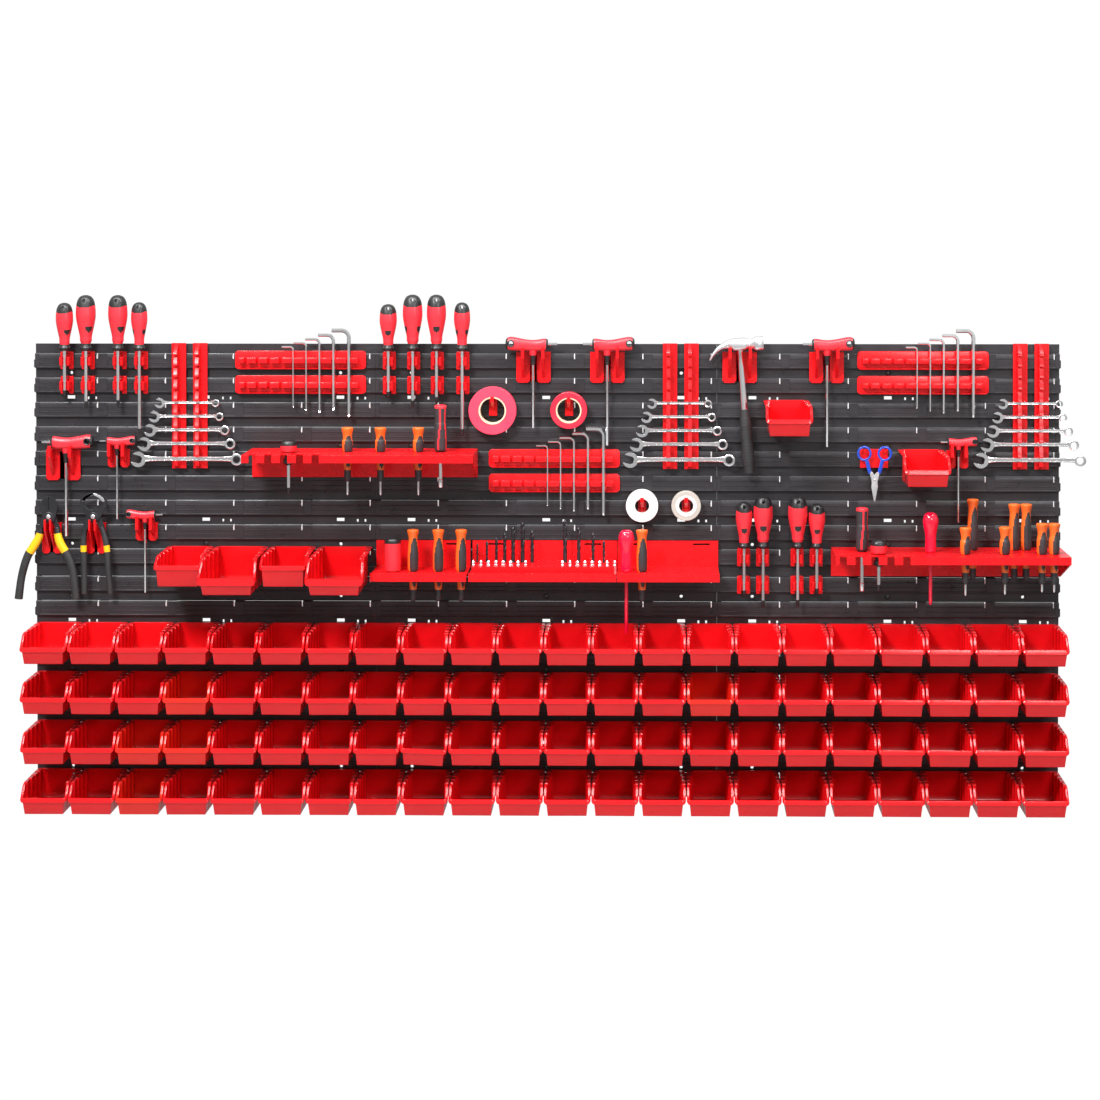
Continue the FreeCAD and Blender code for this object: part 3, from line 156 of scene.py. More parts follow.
PAINTS = {
    # name: colour, roughness, and what differs from plain plastic
    "charcoal": ((0.030, 0.028, 0.031), 0.33, dict(uneven=0.16, bump=0.22, scuffs=0.16, shine=0.30)),
    "red": ((0.74, 0.006, 0.010), 0.26, dict(uneven=0.05, bump=0.06, scuffs=0.03, shine=0.4)),
    "bin_red": ((0.72, 0.006, 0.010), 0.17, dict(uneven=0.06, bump=0.05, scuffs=0.03, shine=0.4)),
    "bin_warm": ((0.74, 0.016, 0.008), 0.17, dict(uneven=0.08, bump=0.05, scuffs=0.04, shine=0.4)),
    "coral": ((0.82, 0.030, 0.045), 0.34, dict(uneven=0.05, bump=0.10, scuffs=0.03)),
    "orange": ((0.83, 0.150, 0.020), 0.34, dict(uneven=0.08, bump=0.10, scuffs=0.04)),
    "insert": ((0.030, 0.030, 0.033), 0.52, dict(uneven=0.15, grain=900.0, bump=0.35)),
    "black": ((0.014, 0.014, 0.015), 0.36, dict(uneven=0.15, bump=0.12)),
    "rubber": ((0.020, 0.020, 0.021), 0.55, dict(uneven=0.20, grain=700.0, bump=0.55)),
    "steel": ((0.86, 0.86, 0.87), 0.20, dict(metallic=1.0, uneven=0.06, bump=0.05, streaks=(1, 1, 0.08))),
    "level_steel": ((0.84, 0.84, 0.85), 0.20,
                    dict(metallic=1.0, uneven=0.07, bump=0.06, streaks=(0.08, 1, 1))),
    "dull_steel": ((0.80, 0.80, 0.82), 0.33, dict(metallic=1.0, uneven=0.08, bump=0.10)),
    "dark_steel": ((0.045, 0.045, 0.050), 0.34, dict(metallic=0.7, uneven=0.20, bump=0.15)),
    "yellow": ((0.90, 0.50, 0.010), 0.34, dict(uneven=0.06, bump=0.10, scuffs=0.03)),
    "blue": ((0.010, 0.065, 0.520), 0.25, dict(coat=0.3, uneven=0.06, bump=0.05)),
    "bulb": ((0.84, 0.006, 0.045), 0.15, dict(coat=0.5, uneven=0.05, bump=0.03)),
    "card": ((0.72, 0.58, 0.40), 0.70, dict(uneven=0.08, bump=0.30)),
    "white_core": ((0.80, 0.79, 0.77), 0.50, dict(uneven=0.04, bump=0.10)),
    # painted highlight: light grey for the strips that stand in for the bright gleam in each panel notch
    "pale_edge": ((0.78, 0.78, 0.78), 0.30, dict(uneven=0.05, bump=0.10)),
}
LOOKS = {name: material(name, colour, rough, **more) for name, (colour, rough, more) in PAINTS.items()}


# ---- outlines and angles
WALL_NORMAL = Vector((0, 1, 0))
FACING_OUT = Matrix.Rotation(math.radians(90), 4, "X")
SMALLEST_RADIUS = 0.02


def leaning(degrees):
    return Matrix.Rotation(math.radians(degrees), 4, "Y")


def turns(steps):
    """Angles of one full turn."""
    return [2 * math.pi * k / steps for k in range(steps)]


def circle(steps, wide, tall=None, middle=(0.0, 0.0)):
    """Points (across, up) of a circle, or of an ellipse if it is also given how tall it is."""
    return [(middle[0] + wide * math.cos(a), middle[1] + (tall or wide) * math.sin(a)) for a in turns(steps)]


def squarer(share, power):
    """A sine or cosine pushed outwards, which makes a circle a rounded square."""
    return math.copysign(abs(share) ** power, share)


def apart(angle, other):
    """Degrees between two directions."""
    return abs((angle - other + 180) % 360 - 180)


# ---- shapes
class Shape:
    """Points in millimetres, and faces that each have a look."""

    def __init__(self):
        self.points = []
        self.faces = []
        self.looks = []

    def loft(self, rings, look, wrap=False, paint=None):
        """Skin through rings of equal length. paint(band, step) may name another look for one face."""
        base, count, bands = len(self.points), len(rings[0]), len(rings) - 1
        for ring in rings:
            self.points.extend(Vector(point) for point in ring)
        for band in range(bands + 1 if wrap else bands):
            after = (band + 1) % len(rings)
            for k in range(count):
                turn = (k + 1) % count
                corners = (base + band * count + k, base + band * count + turn,
                           base + after * count + turn, base + after * count + k)
                self.faces.append(corners)
                self.looks.append((paint(band, k) if paint else None) or look)
        if not wrap:
            for band in (0, bands):
                self.faces.append(tuple(base + band * count + k for k in range(count)))
                self.looks.append((paint(min(band, bands - 1), 0) if paint else None) or look)
        return self

    def prism(self, loop, near, far, look):
        """Outline of (across, up) corners, from one distance out of the wall to another."""
        return self.loft([[(x, -out, z) for x, z in loop] for out in (near, far)], look)

    def side_prism(self, loop, left, right, look):
        """Outline of (out, up) corners, from one place across to another."""
        return self.loft([[(x, -out, z) for out, z in loop] for x in (left, right)], look)

    def sweep(self, path, radii, look, sides=16, flat=1.0, paint=None, wrap=False):
        """Tube along a path. flat is its thickness out of the wall, as a share of that along the wall."""
        rings = []
        count = len(path)
        for k, point in enumerate(path):
            point = Vector(point)
            before = Vector(path[(k - 1) % count if wrap else max(k - 1, 0)])
            after = Vector(path[(k + 1) % count if wrap else min(k + 1, count - 1)])
            along = (after - before).normalized()
            level = (WALL_NORMAL - along * along.dot(WALL_NORMAL)).normalized()
            other = along.cross(level)
            radius = radii[k] if isinstance(radii, (list, tuple)) else radii
            rings.append([point + other * radius * math.cos(a) + level * radius * flat * math.sin(a)
                          for a in turns(sides)])
        return self.loft(rings, look, paint=paint, wrap=wrap)

    def turned(self, profile, look, sides=28, lobes=0, depth=0.0, paint=None):
        """Profile of (radius, height) turned about the vertical axis, with shallow lobes if asked."""
        rings = []
        for radius, height in profile:
            ring = []
            for a in turns(sides):
                r = max(radius, SMALLEST_RADIUS) * (1 + depth * math.cos(lobes * a))
                ring.append((r * math.cos(a), r * math.sin(a), height))
            rings.append(ring)
        painter = paint and (lambda band, k: paint(360.0 * (k + 0.5) / sides,
                                                   (profile[band][1] + profile[band + 1][1]) / 2))
        return self.loft(rings, look, paint=painter)

    def moved(self, place=(0, 0, 0), turn=None):
        twin = Shape()
        matrix = Matrix.Translation(place) @ (turn or Matrix.Identity(4))
        twin.points = [matrix @ point for point in self.points]
        twin.faces, twin.looks = list(self.faces), list(self.looks)
        return twin

    def add(self, other):
        base = len(self.points)
        self.points.extend(other.points)
        self.faces.extend(tuple(base + k for k in face) for face in other.faces)
        self.looks.extend(other.looks)
        return self

    def drilled(self, tool):
        """The closed shape less the tool's shape; the hole's wall gets the look that sorts first."""
        whole = bpy.data.objects.new("whole", self.mesh("whole"))
        drill = bpy.data.objects.new("drill", tool.mesh("drill"))
        for item in (whole, drill):
            tidied(item.data)
            bpy.context.scene.collection.objects.link(item)
        cut = whole.modifiers.new("Hole", "BOOLEAN")
        cut.operation = "DIFFERENCE"
        cut.object = drill
        done = bpy.data.meshes.new_from_object(whole.evaluated_get(bpy.context.evaluated_depsgraph_get()))
        names = sorted(set(self.looks))
        left = Shape()
        left.points = [vertex.co / MM for vertex in done.vertices]
        left.faces = [tuple(face.vertices) for face in done.polygons]
        left.looks = [names[min(face.material_index, len(names) - 1)] for face in done.polygons]
        for item in (whole, drill):
            bpy.data.objects.remove(item)
        return left

    def mesh(self, name):
        names = sorted(set(self.looks))
        made = bpy.data.meshes.new(name)
        made.from_pydata([point * MM for point in self.points], [], self.faces)
        for look in names:
            made.materials.append(LOOKS[look])
        made.polygons.foreach_set("material_index", [names.index(look) for look in self.looks])
        return made


def tidied(mesh, weld=0.00001, flatten=False):
    """Joins points that meet, turns all faces outwards and, if asked, makes one face of flat neighbours."""
    cleaner = bmesh.new()
    cleaner.from_mesh(mesh)
    bmesh.ops.remove_doubles(cleaner, verts=cleaner.verts, dist=weld)
    if flatten:
        bmesh.ops.dissolve_limit(cleaner, angle_limit=math.radians(0.6), verts=cleaner.verts,
                                 edges=cleaner.edges)
    bmesh.ops.recalc_face_normals(cleaner, faces=cleaner.faces)
    cleaner.to_mesh(mesh)
    cleaner.free()


def piece(name, mesh, body, slot, nodes, bevel=0.0, smooth=38.0):
    """One shown piece: it rides on its CAD body, stands for its CAD nodes and has rounded edges."""
    made = bpy.data.objects.new(name, mesh)
    bpy.context.scene.collection.objects.link(made)
    mesh.shade_smooth()
    mesh.set_sharp_from_angle(angle=math.radians(smooth))
    if bevel:
        edge = made.modifiers.new("Edges", "BEVEL")
        edge.width = bevel * MM
        edge.segments = 2
        edge.limit_method = "ANGLE"
        edge.angle_limit = math.radians(smooth)
        edge.harden_normals = True
    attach(made, body)
    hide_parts(*nodes)
    return made


def shaped(shape, node, body, slot, bevel=0.0, smooth=38.0):
    mesh = shape.mesh(node + "_shape")
    tidied(mesh)
    return piece(node + "_shape", mesh, body, slot, [node], bevel, smooth)


def rounded(node, body, slot, look, width, marks=None):
    """The CAD shape with moulded, rounded edges and, if asked, small light-grey strips of painted highlight
    on it.
    """
    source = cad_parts[node].data
    mesh = bpy.data.meshes.new(node + "_moulding")
    mesh.from_pydata([v.co for v in source.vertices], [], [tuple(p.vertices) for p in source.polygons])
    tidied(mesh, 0.000002, True)
    mesh.materials.append(LOOKS[look])
    if marks:
        # the strips are painted highlight: they stand in for the bright gleam in the panel's notches
        pale = marks.mesh(node + "_marks")
        for face in pale.polygons:
            face.material_index = 1
        both = bmesh.new()
        both.from_mesh(mesh)
        both.from_mesh(pale)
        both.to_mesh(mesh)
        both.free()
        mesh.materials.append(LOOKS["pale_edge"])
    return piece(node + "_moulding", mesh, body, slot, [node], width, 28.0)


def smooth_path(points, steps=4):
    """Catmull-Rom curve through points of any dimension."""
    points = [Vector(point) for point in points]
    out = []
    for k in range(len(points) - 1):
        p0, p1, p2 = points[max(k - 1, 0)], points[k], points[k + 1]
        p3 = points[min(k + 2, len(points) - 1)]
        for s in range(steps):
            t = s / steps
            out.append(0.5 * (2 * p1 + (p2 - p0) * t + (2 * p0 - 5 * p1 + 4 * p2 - p3) * t * t
                              + (3 * p1 - p0 - 3 * p2 + p3) * t * t * t))
    out.append(points[-1])
    return out


def smooth_profile(points, steps=4):
    return [(point.x, point.y) for point in smooth_path(points, steps)]


# ---- panels, holders and shelves
CELLS = 5
CELL_WIDTH = PANEL_WIDTH / CELLS
NOTCH_EDGE = [(-0.7, -1.0), (-1.1, -4.5), (-0.7, -8.0), (0.5, -8.6), (0.1, -4.5), (0.5, -0.6)]


def notch_highlights(left, top):
    """Light-grey strips of painted highlight beside the notch at the right end of each of a panel's
    forty-five recesses; they stand in for the bright gleam seen in each notch.
    """
    made = Shape()
    for row in range(LEDGES_ON_PANEL):
        for cell in range(CELLS):
            x, z = left + CELL_WIDTH * (cell + 1) - 9.5, top - row * ROW_PITCH - 17.0
            # each strip is painted highlight standing in for the gleam in the notch
            made.prism([(x + dx, z + dz) for dx, dz in NOTCH_EDGE], 12.4, HOLDER_BACK, "pale_edge")
    return made


for column, side in enumerate(("left", "middle", "right")):
    for line, level in enumerate(("top", "bottom")):
        # each panel gets its notch strips of painted highlight
        marks = notch_highlights((column - 1.5) * PANEL_WIDTH, BOARD_TOP - line * PANEL_PITCH)
        rounded("panel_%s_%s" % (level, side), "board", "charcoal_plastic", "charcoal", 0.45, marks)
for name, width in (("wrench_rails", 0.5), ("large_hooks", 0.7), ("small_hooks", 0.6), ("plier_hooks", 0.6),
                    ("tape_hooks", 0.6), ("shelf_left", 0.6), ("shelf_right", 0.6), ("long_shelf", 0.6)):
    rounded(name, "board", "red_plastic", "red", width)


def round_box(left, right, low, high, radius, steps=4):
    """Outline of (across, up) points of a rectangle with rounded corners."""
    loop = []
    for x, z, start in ((right, low, -90), (right, high, 0), (left, high, 90), (left, low, 180)):
        middle_x = x - math.copysign(radius, x - (left + right) / 2)
        middle_z = z - math.copysign(radius, z - (low + high) / 2)
        for k in range(steps + 1):
            a = math.radians(start + 90 * k / steps)
            loop.append((middle_x + radius * math.cos(a), middle_z + radius * math.sin(a)))
    return loop


def pillow(loop, near, far, soft, look):
    """Prism whose front edge is rounded: the outline shrinks towards its middle as it reaches far."""
    xs, zs = [x for x, _ in loop], [z for _, z in loop]
    x0, z0 = (min(xs) + max(xs)) / 2, (min(zs) + max(zs)) / 2
    wide, tall = (max(xs) - min(xs)) / 2, (max(zs) - min(zs)) / 2
    rings = []
    for out, inset in ((near, 0.0), (far - soft, 0.0), (far - 0.3 * soft, 0.3 * soft), (far, soft)):
        rings.append([(x0 + (x - x0) * (wide - inset) / wide, -out, z0 + (z - z0) * (tall - inset) / tall)
                      for x, z in loop])
    return Shape().loft(rings, look)


def hook_tongue(half, front=14.2, look="red"):
    """The tongue behind a holder's plate or a bin, down into the ledge's channel."""
    loop = [(8.0, -8.0), (9.6, -8.0), (9.6, 0.4), (front, 0.4), (front, 3.0), (8.0, 3.0)]
    return Shape().side_prism(loop, -half, half, look)


PLATE_FRONT = 16.8
KEYS = (
    # across flats, place on the rail, rise over the ledge, length of the long and of the short arm
    (2.5, -11, 13, 101, 19), (3.0, 11, 20, 113, 21), (4.0, 33.5, 27, 123, 24), (5.0, 57, 34.5, 126, 26),
    (6.0, 83, 43, 144, 29))
EMPTY_GAPS = (-91, -71.5, -52, -32)


def corner_radius(flats):
    """Radius of a hexagon's corners, from the distance between its flats."""
    return flats / math.cos(math.radians(30)) / 2


def hex_key_rail():
    """Level bar with rounded ends, a lip along its foot and ten blocks with gaps for the keys."""
    plate = round_box(-110.5, 110.5, -26.5, 4.5, 6.0)
    made = hook_tongue(108).add(pillow(plate, HOLDER_BACK, PLATE_FRONT, 0.7, "red"))
    gaps = [(place, 4.0) for place in EMPTY_GAPS]
    gaps += [(place, 2 * corner_radius(flats) + 0.8) for flats, place, *_ in KEYS]
    edges = [-103.0] + [place + side * gap / 2 for place, gap in gaps for side in (-1, 1)] + [99.0]
    for left, right in zip(edges[::2], edges[1::2]):
        made.add(pillow(round_box(left, right, -15.5, -6.5, 1.2), 16.3, 30.5, 0.8, "red"))
    lip = [(16.3, -26.5), (18.4, -26.5), (19.0, -25.9), (19.0, -24.6), (18.4, -24.0), (16.3, -24.0)]
    return made.side_prism(lip, -104.5, 104.5, "red")


def clip():
    """Spring clip: a rounded plate, notched above and below, and two jaws that stand out from it."""
    half = [(3.2, 3.0), (9.0, 3.0), (10.5, 2.4), (11.0, 1.0), (11.0, -25.0), (10.5, -26.4), (9.0, -27.0),
            (4.2, -27.0), (3.4, -26.0), (3.0, -22.5), (0.0, -21.5)]
    loop = [(0.0, -1.5), (2.6, -1.0)] + half + [(-x, z) for x, z in reversed(half[:-1])] + [(-2.6, -1.0)]
    made = hook_tongue(10.0).prism(loop, HOLDER_BACK, PLATE_FRONT, "red")
    jaw = [(16.3, 9.0), (26, 9.0), (34, 8.8), (36.4, 7.8), (37.0, 6.4), (36.4, 5.2),
           (34.4, 4.0), (32.0, 3.5), (28.0, 3.7), (24.0, 4.2), (16.3, 4.2)]
    for side in (-1, 1):
        made.loft([[(side * x, -out, z) for out, x in jaw] for z in (-19, -5)], "red")
    return made


HEX_KEY_PLACES = {"left": (450, 0), "middle": (878, 4), "right": (1498, 0)}
DRIVERS = {
    # ledge, then for each driver: across, grip's length and radius, shaft's length, angles of dark inlays
    "left": (0, ((55, 81, 14.3, 77, (-52,)), (91, 94, 16.4, 97, (-52,)), (145, 94, 16.0, 95, (-52,)),
                 (181, 82, 13.5, 143, (-25, -155)))),
    "middle": (0, ((600, 79, 14.3, 79, (-85,)), (641, 95, 16.4, 95, (-25, -155)), (681, 95, 16.0, 89, (-85,)),
                   (724, 82, 13.5, 143, (-30, -150)))),
    "right": (8, ((1197, 79, 13.6, 81, (-90,)), (1229, 89, 16.0, 99, (-90,)), (1287, 89, 16.0, 98, (-90,)),
                  (1319, 76, 13.6, 77, (-90,)))),
}
rails, clips = Shape(), Shape()
for across, row in HEX_KEY_PLACES.values():
    for level in (row, row + 1):
        rails.add(hex_key_rail().moved(on_ledge(across, level)))
for row, drivers in DRIVERS.values():
    for across, *_ in drivers:
        for level in (row, row + 1):
            clips.add(clip().moved(on_ledge(across, level)))
shaped(rails, "hex_key_rails", "board", "red_plastic", 0.0, 30)
shaped(clips, "screwdriver_clips", "board", "red_plastic", 0.5, 30)

screws = Shape()
screw = Shape().turned([(2.4, 0.2), (2.4, 5.6), (4.6, 5.6), (4.7, 6.0), (4.5, 6.2), (4.1, 6.2), (4.1, 6.7),
                        (3.7, 7.2), (2.6, 7.55), (0.1, 7.6)], "black", 24)
for panel in range(6):
    for column, row in ((0, 4), (2, 4), (1, 1), (1, 4), (1, 8)):
        across = (panel % 3) * PANEL_WIDTH + 60 + 228 * column
        below = (panel // 3) * PANEL_PITCH + row * ROW_PITCH + 8
        screws.add(screw.moved(on_board(across, below), FACING_OUT))
shaped(screws, "wall_screws", "board", "black_screws", 0.15)


# ---- bins
PLEATS = 4
BIN_WALL = 1.6
BINS_IN_ROW = 22
BIN_PITCH = 78.5
FIRST_BIN = (3 * PANEL_WIDTH - (BINS_IN_ROW - 1) * BIN_PITCH) / 2


def bin_plan(width, depth, slant, top, rim, rolled, flare):
    """Right half of the wall's outline from back to front: (across, out, height, flange width and height).

    The flange's outer edge runs straight, so it is wide where the pleated wall stands back from it.
    """
    outer = width / 2 - 0.4
    half = outer - 2.6
    end = depth - 6 - slant
    stride = end / PLEATS
    points = [(half - 6.4, 0.0, top, 9.0, 1.8), (half - 5.4, 0.9, top, 8.0, 1.8)]
    for k in range(PLEATS):
        inset, high, start = 1.35 * (PLEATS - k), top - 0.4 * k, stride * k
        points += [(half - inset, start + 1.4, high, 2.6 + inset, 2.0),
                   (half - inset, start + stride - 3.6, high, 2.6 + inset, 2.0),
                   (half - inset - 1.5, start + stride - 1.6, high - 2.4, 4.1 + inset, 2.0)]
    for share, drop in ((0.05, 0.0), (0.16, 0.06), (0.30, 0.20), (0.62, 0.58), (0.95, 0.96)):
        points.append((half + flare * share, end + slant * share, top - 2 + (rim - top + 2) * drop, 2.6, 2.4))
    half += flare
    front = depth - 2.5
    return points + [
        (half, depth - 5.4, rim, 2.6, 0.55 * rolled), (half - 0.8, depth - 3.2, rim, 2.6, 0.8 * rolled),
        (half - 2.6, front, rim, 2.5, rolled), (half - 5, front, rim, 2.5, rolled),
        (half * 0.5, front, rim, 2.5, rolled)]


def bin_shape(width, depth, height, front_drop, slant, rolled, flare, look):
    """Open-fronted bin with pleated sides, a flange along its rim, a tall front lip and a hook on its back.

    front_drop is how much lower the front is than the back, slant the length of the slope between them,
    rolled the front lip's height, and flare how far the sides swing out along the slope.
    """
    top = 5.0
    low = top - height
    rim = top - front_drop
    step = rim - rolled
    foot = 0.05 * depth
    right = bin_plan(width, depth, slant, top, rim, rolled, flare)
    plan = right + [(-entry[0],) + entry[1:] for entry in reversed(right)]
    count = len(plan)
    normals = []
    for k in range(count):
        a, b = plan[(k - 1) % count], plan[(k + 1) % count]
        along = Vector((b[0] - a[0], b[1] - a[1])).normalized()
        normals.append(Vector((along.y, -along.x)))

    def at(k, z, offset):
        x, out = plan[k][:2]
        taper = min(1.0, max(0.0, (step - z) / (step - low)))
        if z < step - 0.1:
            x = math.copysign(min(abs(x), width / 2 - 5.0 - 2.0 * taper), x)
        out -= foot * taper * out / depth
        return (x + normals[k].x * offset, -(HOLDER_BACK + 0.2 + out + normals[k].y * offset), z)

    def ring(z, offset):
        """Level ring; a function of the plan's entry may stand for z or offset."""
        return [at(k, z(plan[k]) if callable(z) else z, offset(plan[k]) if callable(offset) else offset)
                for k in range(count)]

    def edge(down, share):
        return ring(lambda entry: entry[2] - min(down, entry[4]), lambda entry: share * entry[3])

    rings = [
        ring(low, -1.8), ring(low + 0.4, -0.6), ring(low + 1.6, 0), ring(step - 0.8, 0), ring(step, 0),
        ring(lambda entry: entry[2] - entry[4] + 0.05, 0),
        ring(lambda entry: entry[2] - entry[4] + 0.35, lambda entry: 0.9 * entry[3]),
        ring(lambda entry: entry[2] - entry[4] + 0.8, lambda entry: entry[3]),
        ring(lambda entry: entry[2] - 0.7, lambda entry: entry[3] - max(0.3, 0.22 * (entry[4] - 2))),
        edge(0.15, 0.42), edge(0.0, 0.25),
        ring(lambda entry: entry[2], 0.4 - BIN_WALL),
        ring(lambda entry: entry[2] - 0.4, -BIN_WALL), ring(step, -BIN_WALL), ring(step - 0.8, -BIN_WALL),
        ring(low + BIN_WALL + 1.6, -BIN_WALL), ring(low + BIN_WALL + 0.4, -BIN_WALL - 0.7),
        ring(low + BIN_WALL, -BIN_WALL - 2.0)]
    return Shape().loft(rings, look).add(hook_tongue(0.36 * width, 15.0, look))


# rows and places of bins in a slightly warmer red, and of the one that hangs askew
WARM = {(2, 3), (3, 2), (3, 3), (4, 2), (2, 14)}
ASKEW = (3, 8)
# width, depth, height, front drop, slant, rolled lip and flare
SMALL_BIN = (77.6, 115.0, 50.5, 22.0, 20.0, 7.7, 0.2)
SHORT_BIN = (79, 122, 50, 14.5, 26, 7.7, 0.0)
DEEP_BIN = (92, 156, 58.5, 29.5, 26, 12.5, 2.4)
for number, row in enumerate((11, 13, 15, 17), start=1):
    whole = Shape()
    for k in range(BINS_IN_ROW):
        small = bin_shape(*SMALL_BIN, "bin_warm" if (number, k) in WARM else "bin_red")
        lean = 2.2 if (number, k) == ASKEW else random.uniform(-0.25, 0.25)
        across = FIRST_BIN + BIN_PITCH * k + random.uniform(-0.2, 0.2)
        whole.add(small.moved(on_ledge(across, row), leaning(lean)))
    node = "bins_row_%d" % number
    shaped(whole, node, node, "bin_plastic", smooth=40)
for node, across, row, sizes in (
        ("large_bin_1", 263.5, 8, SHORT_BIN), ("large_bin_2", 350, 8, DEEP_BIN),
        ("large_bin_3", 437, 8, SHORT_BIN), ("large_bin_4", 525.5, 8, DEEP_BIN),
        ("single_bin_upper", 1268, 2, SMALL_BIN), ("single_bin_lower", 1494, 4, SMALL_BIN)):
    shaped(bin_shape(*sizes, "bin_red").moved(on_ledge(across, row)), node, node, "bin_plastic", smooth=40)


# ---- screwdrivers
def screwdriver(grip, radius, shaft, patches):
    """Two-colour driver. Height zero is the collar's foot; patches are the angles of its dark inlays."""
    foot = 0.135 * grip
    body = ((0.60, 0.19), (0.62, 0.27), (0.80, 0.42), (0.97, 0.58), (1, 0.68), (0.96, 0.80), (0.84, 0.90),
            (0.58, 0.97), (0.2, 1))
    profile = smooth_profile([(5.2, 0.3), (8.0, 2.0), (9.6, 5.0), (8.6, 8.0), (7.9, foot)]
                             + [(radius * wide, high * grip) for wide, high in body], 7)

    def paint(angle, z):
        share = z / grip
        if share > 0.80 + 0.02 * math.cos(math.radians(2 * angle)) or z < foot:
            return "black"
        for patch in patches:
            away = apart(angle, patch)
            if away < 27 and abs(share - 0.385 - 0.0009 * away) < 0.055 - 0.0008 * away:
                return "black"
        return None

    hole = Shape().prism(circle(16, 2.7, 3.3, (0, 0.905 * grip)), -40, 40, "black")
    made = Shape().turned(profile, "coral", 72, 6, 0.012, paint).drilled(hole)
    tip = 0.14 * min(shaft, 90)
    end = tip - shaft
    made.turned([(2.95, 1.0), (3.0, end)], "steel", 20)
    return made.turned([(3.05, end), (3.1, end - 0.6), (2.6, 2.5 - shaft), (0.8, -shaft)], "black", 12)


for side, (row, drivers) in DRIVERS.items():
    whole = Shape()
    for across, grip, radius, shaft, patches in drivers:
        whole.add(screwdriver(grip, radius, shaft, patches).moved(on_ledge(across, row, 5.0, 32.0)))
    node = "screwdrivers_" + side
    shaped(whole, node, node, "coral_grip")


# ---- wrenches and hex keys
def wrench(left, right, head, eye, shank):
    """Combination wrench lying level, open end on the left and ring end on the right, with a sunk shank.

    head and eye are the radii of its two ends, and shank the height of the bar between them.
    """
    made = Shape()
    start, end = left + 2 * head - 1.5, right - 2 * eye + 1.2
    back = [(-1.45, -0.5), (-2.0, -0.42), (-2.0, -0.30), (-1.35, -0.22), (-1.35, 0.22), (-2.0, 0.30),
            (-2.0, 0.42), (-1.45, 0.5)]
    section = back + [(-y, z) for y, z in reversed(back)]
    rings = []
    heights = ((0, 1.5), (0.05, 1.15), (0.12, 1.0), (0.5, 0.96), (0.88, 1.0), (0.95, 1.1), (1, 1.35))
    for share, tall in heights:
        rings.append([(start + (end - start) * share, y, z * shank * tall) for y, z in section])
    made.loft(rings, "level_steel")
    gap, mouth = 0.50 * head, 0.15 * head
    loop = [(mouth, -gap), (-head * 0.86, -gap)]
    arc = [math.radians(a) for a in range(-150, 151, 12)]
    loop += [(head * math.cos(a), head * math.sin(a)) for a in arc]
    seat, corner = mouth + 0.3 * head, 0.3 * head
    loop += [(-head * 0.86, gap), (mouth, gap), (seat, corner), (seat, -corner)]
    jaw = Shape().prism(loop, -2.4, 2.4, "level_steel")
    made.add(jaw.moved((left + head, 0, -1), leaning(15)))
    outer = circle(24, eye)
    bevel = [(0.90 * x, 0.90 * z) for x, z in outer]
    teeth = [eye * (0.66 if k % 2 else 0.58) for k in range(24)]
    inner = [(radius * math.cos(a), radius * math.sin(a)) for radius, a in zip(teeth, turns(24))]
    rings = []
    for loop, out in ((outer, -2.2), (outer, 2.2), (bevel, 2.8), (inner, 2.5), (inner, -2.5), (bevel, -2.8)):
        rings.append([(right - eye + x, -out, z - 1) for x, z in loop])
    return made.loft(rings, "level_steel", wrap=True)


WRENCHES = (
    # below the board's top, then the sizes of wrench()
    (98, -39, 70, 8.5, 6.3, 4.4), (121, -49, 77, 9.5, 7.0, 5.0), (144, -57.5, 87, 10.5, 7.8, 5.6),
    (167, -68, 97, 11.5, 8.8, 6.2), (193, -80, 109, 13.0, 10.0, 7.2))
for side, across in (("left", 244.5), ("middle", 1073.0), ("right", 1661.0)):
    whole = Shape()
    for below, *sizes in WRENCHES:
        whole.add(wrench(*sizes).moved(on_board(across, below, 26.0)))
    node = "wrenches_" + side
    shaped(whole, node, node, "chrome_steel", 0.35)


def hex_key(flats, length, reach):
    """L-shaped hexagonal key with a ball end; the long arm hangs down and the short arm points left."""
    radius = corner_radius(flats)
    bend = 2.0 * flats
    path = [(0, 0, -length), (0, 0, -radius - bend)]
    for k in range(1, 9):
        a = math.pi / 2 * k / 8
        path.append((-bend + bend * math.cos(a), 0, -radius - bend + bend * math.sin(a)))
    path.append((-reach, 0, -radius))
    ball = [(0.62 * radius, -length), (0.60 * radius, -length - 0.4), (0.92 * radius, -length - 0.9 * radius),
            (0.80 * radius, -length - 1.3 * radius), (0.5, -length - 1.35 * radius)]
    return Shape().sweep(path, radius, "steel", 6).turned(ball, "steel", 6)


for side, (across, row) in HEX_KEY_PLACES.items():
    whole = Shape()
    for flats, place, rise, length, reach in KEYS:
        whole.add(hex_key(flats, length, reach).moved(on_ledge(across + place, row, rise, 26.0)))
    node = "hex_keys_" + side
    shaped(whole, node, node, "chrome_steel", smooth=20)


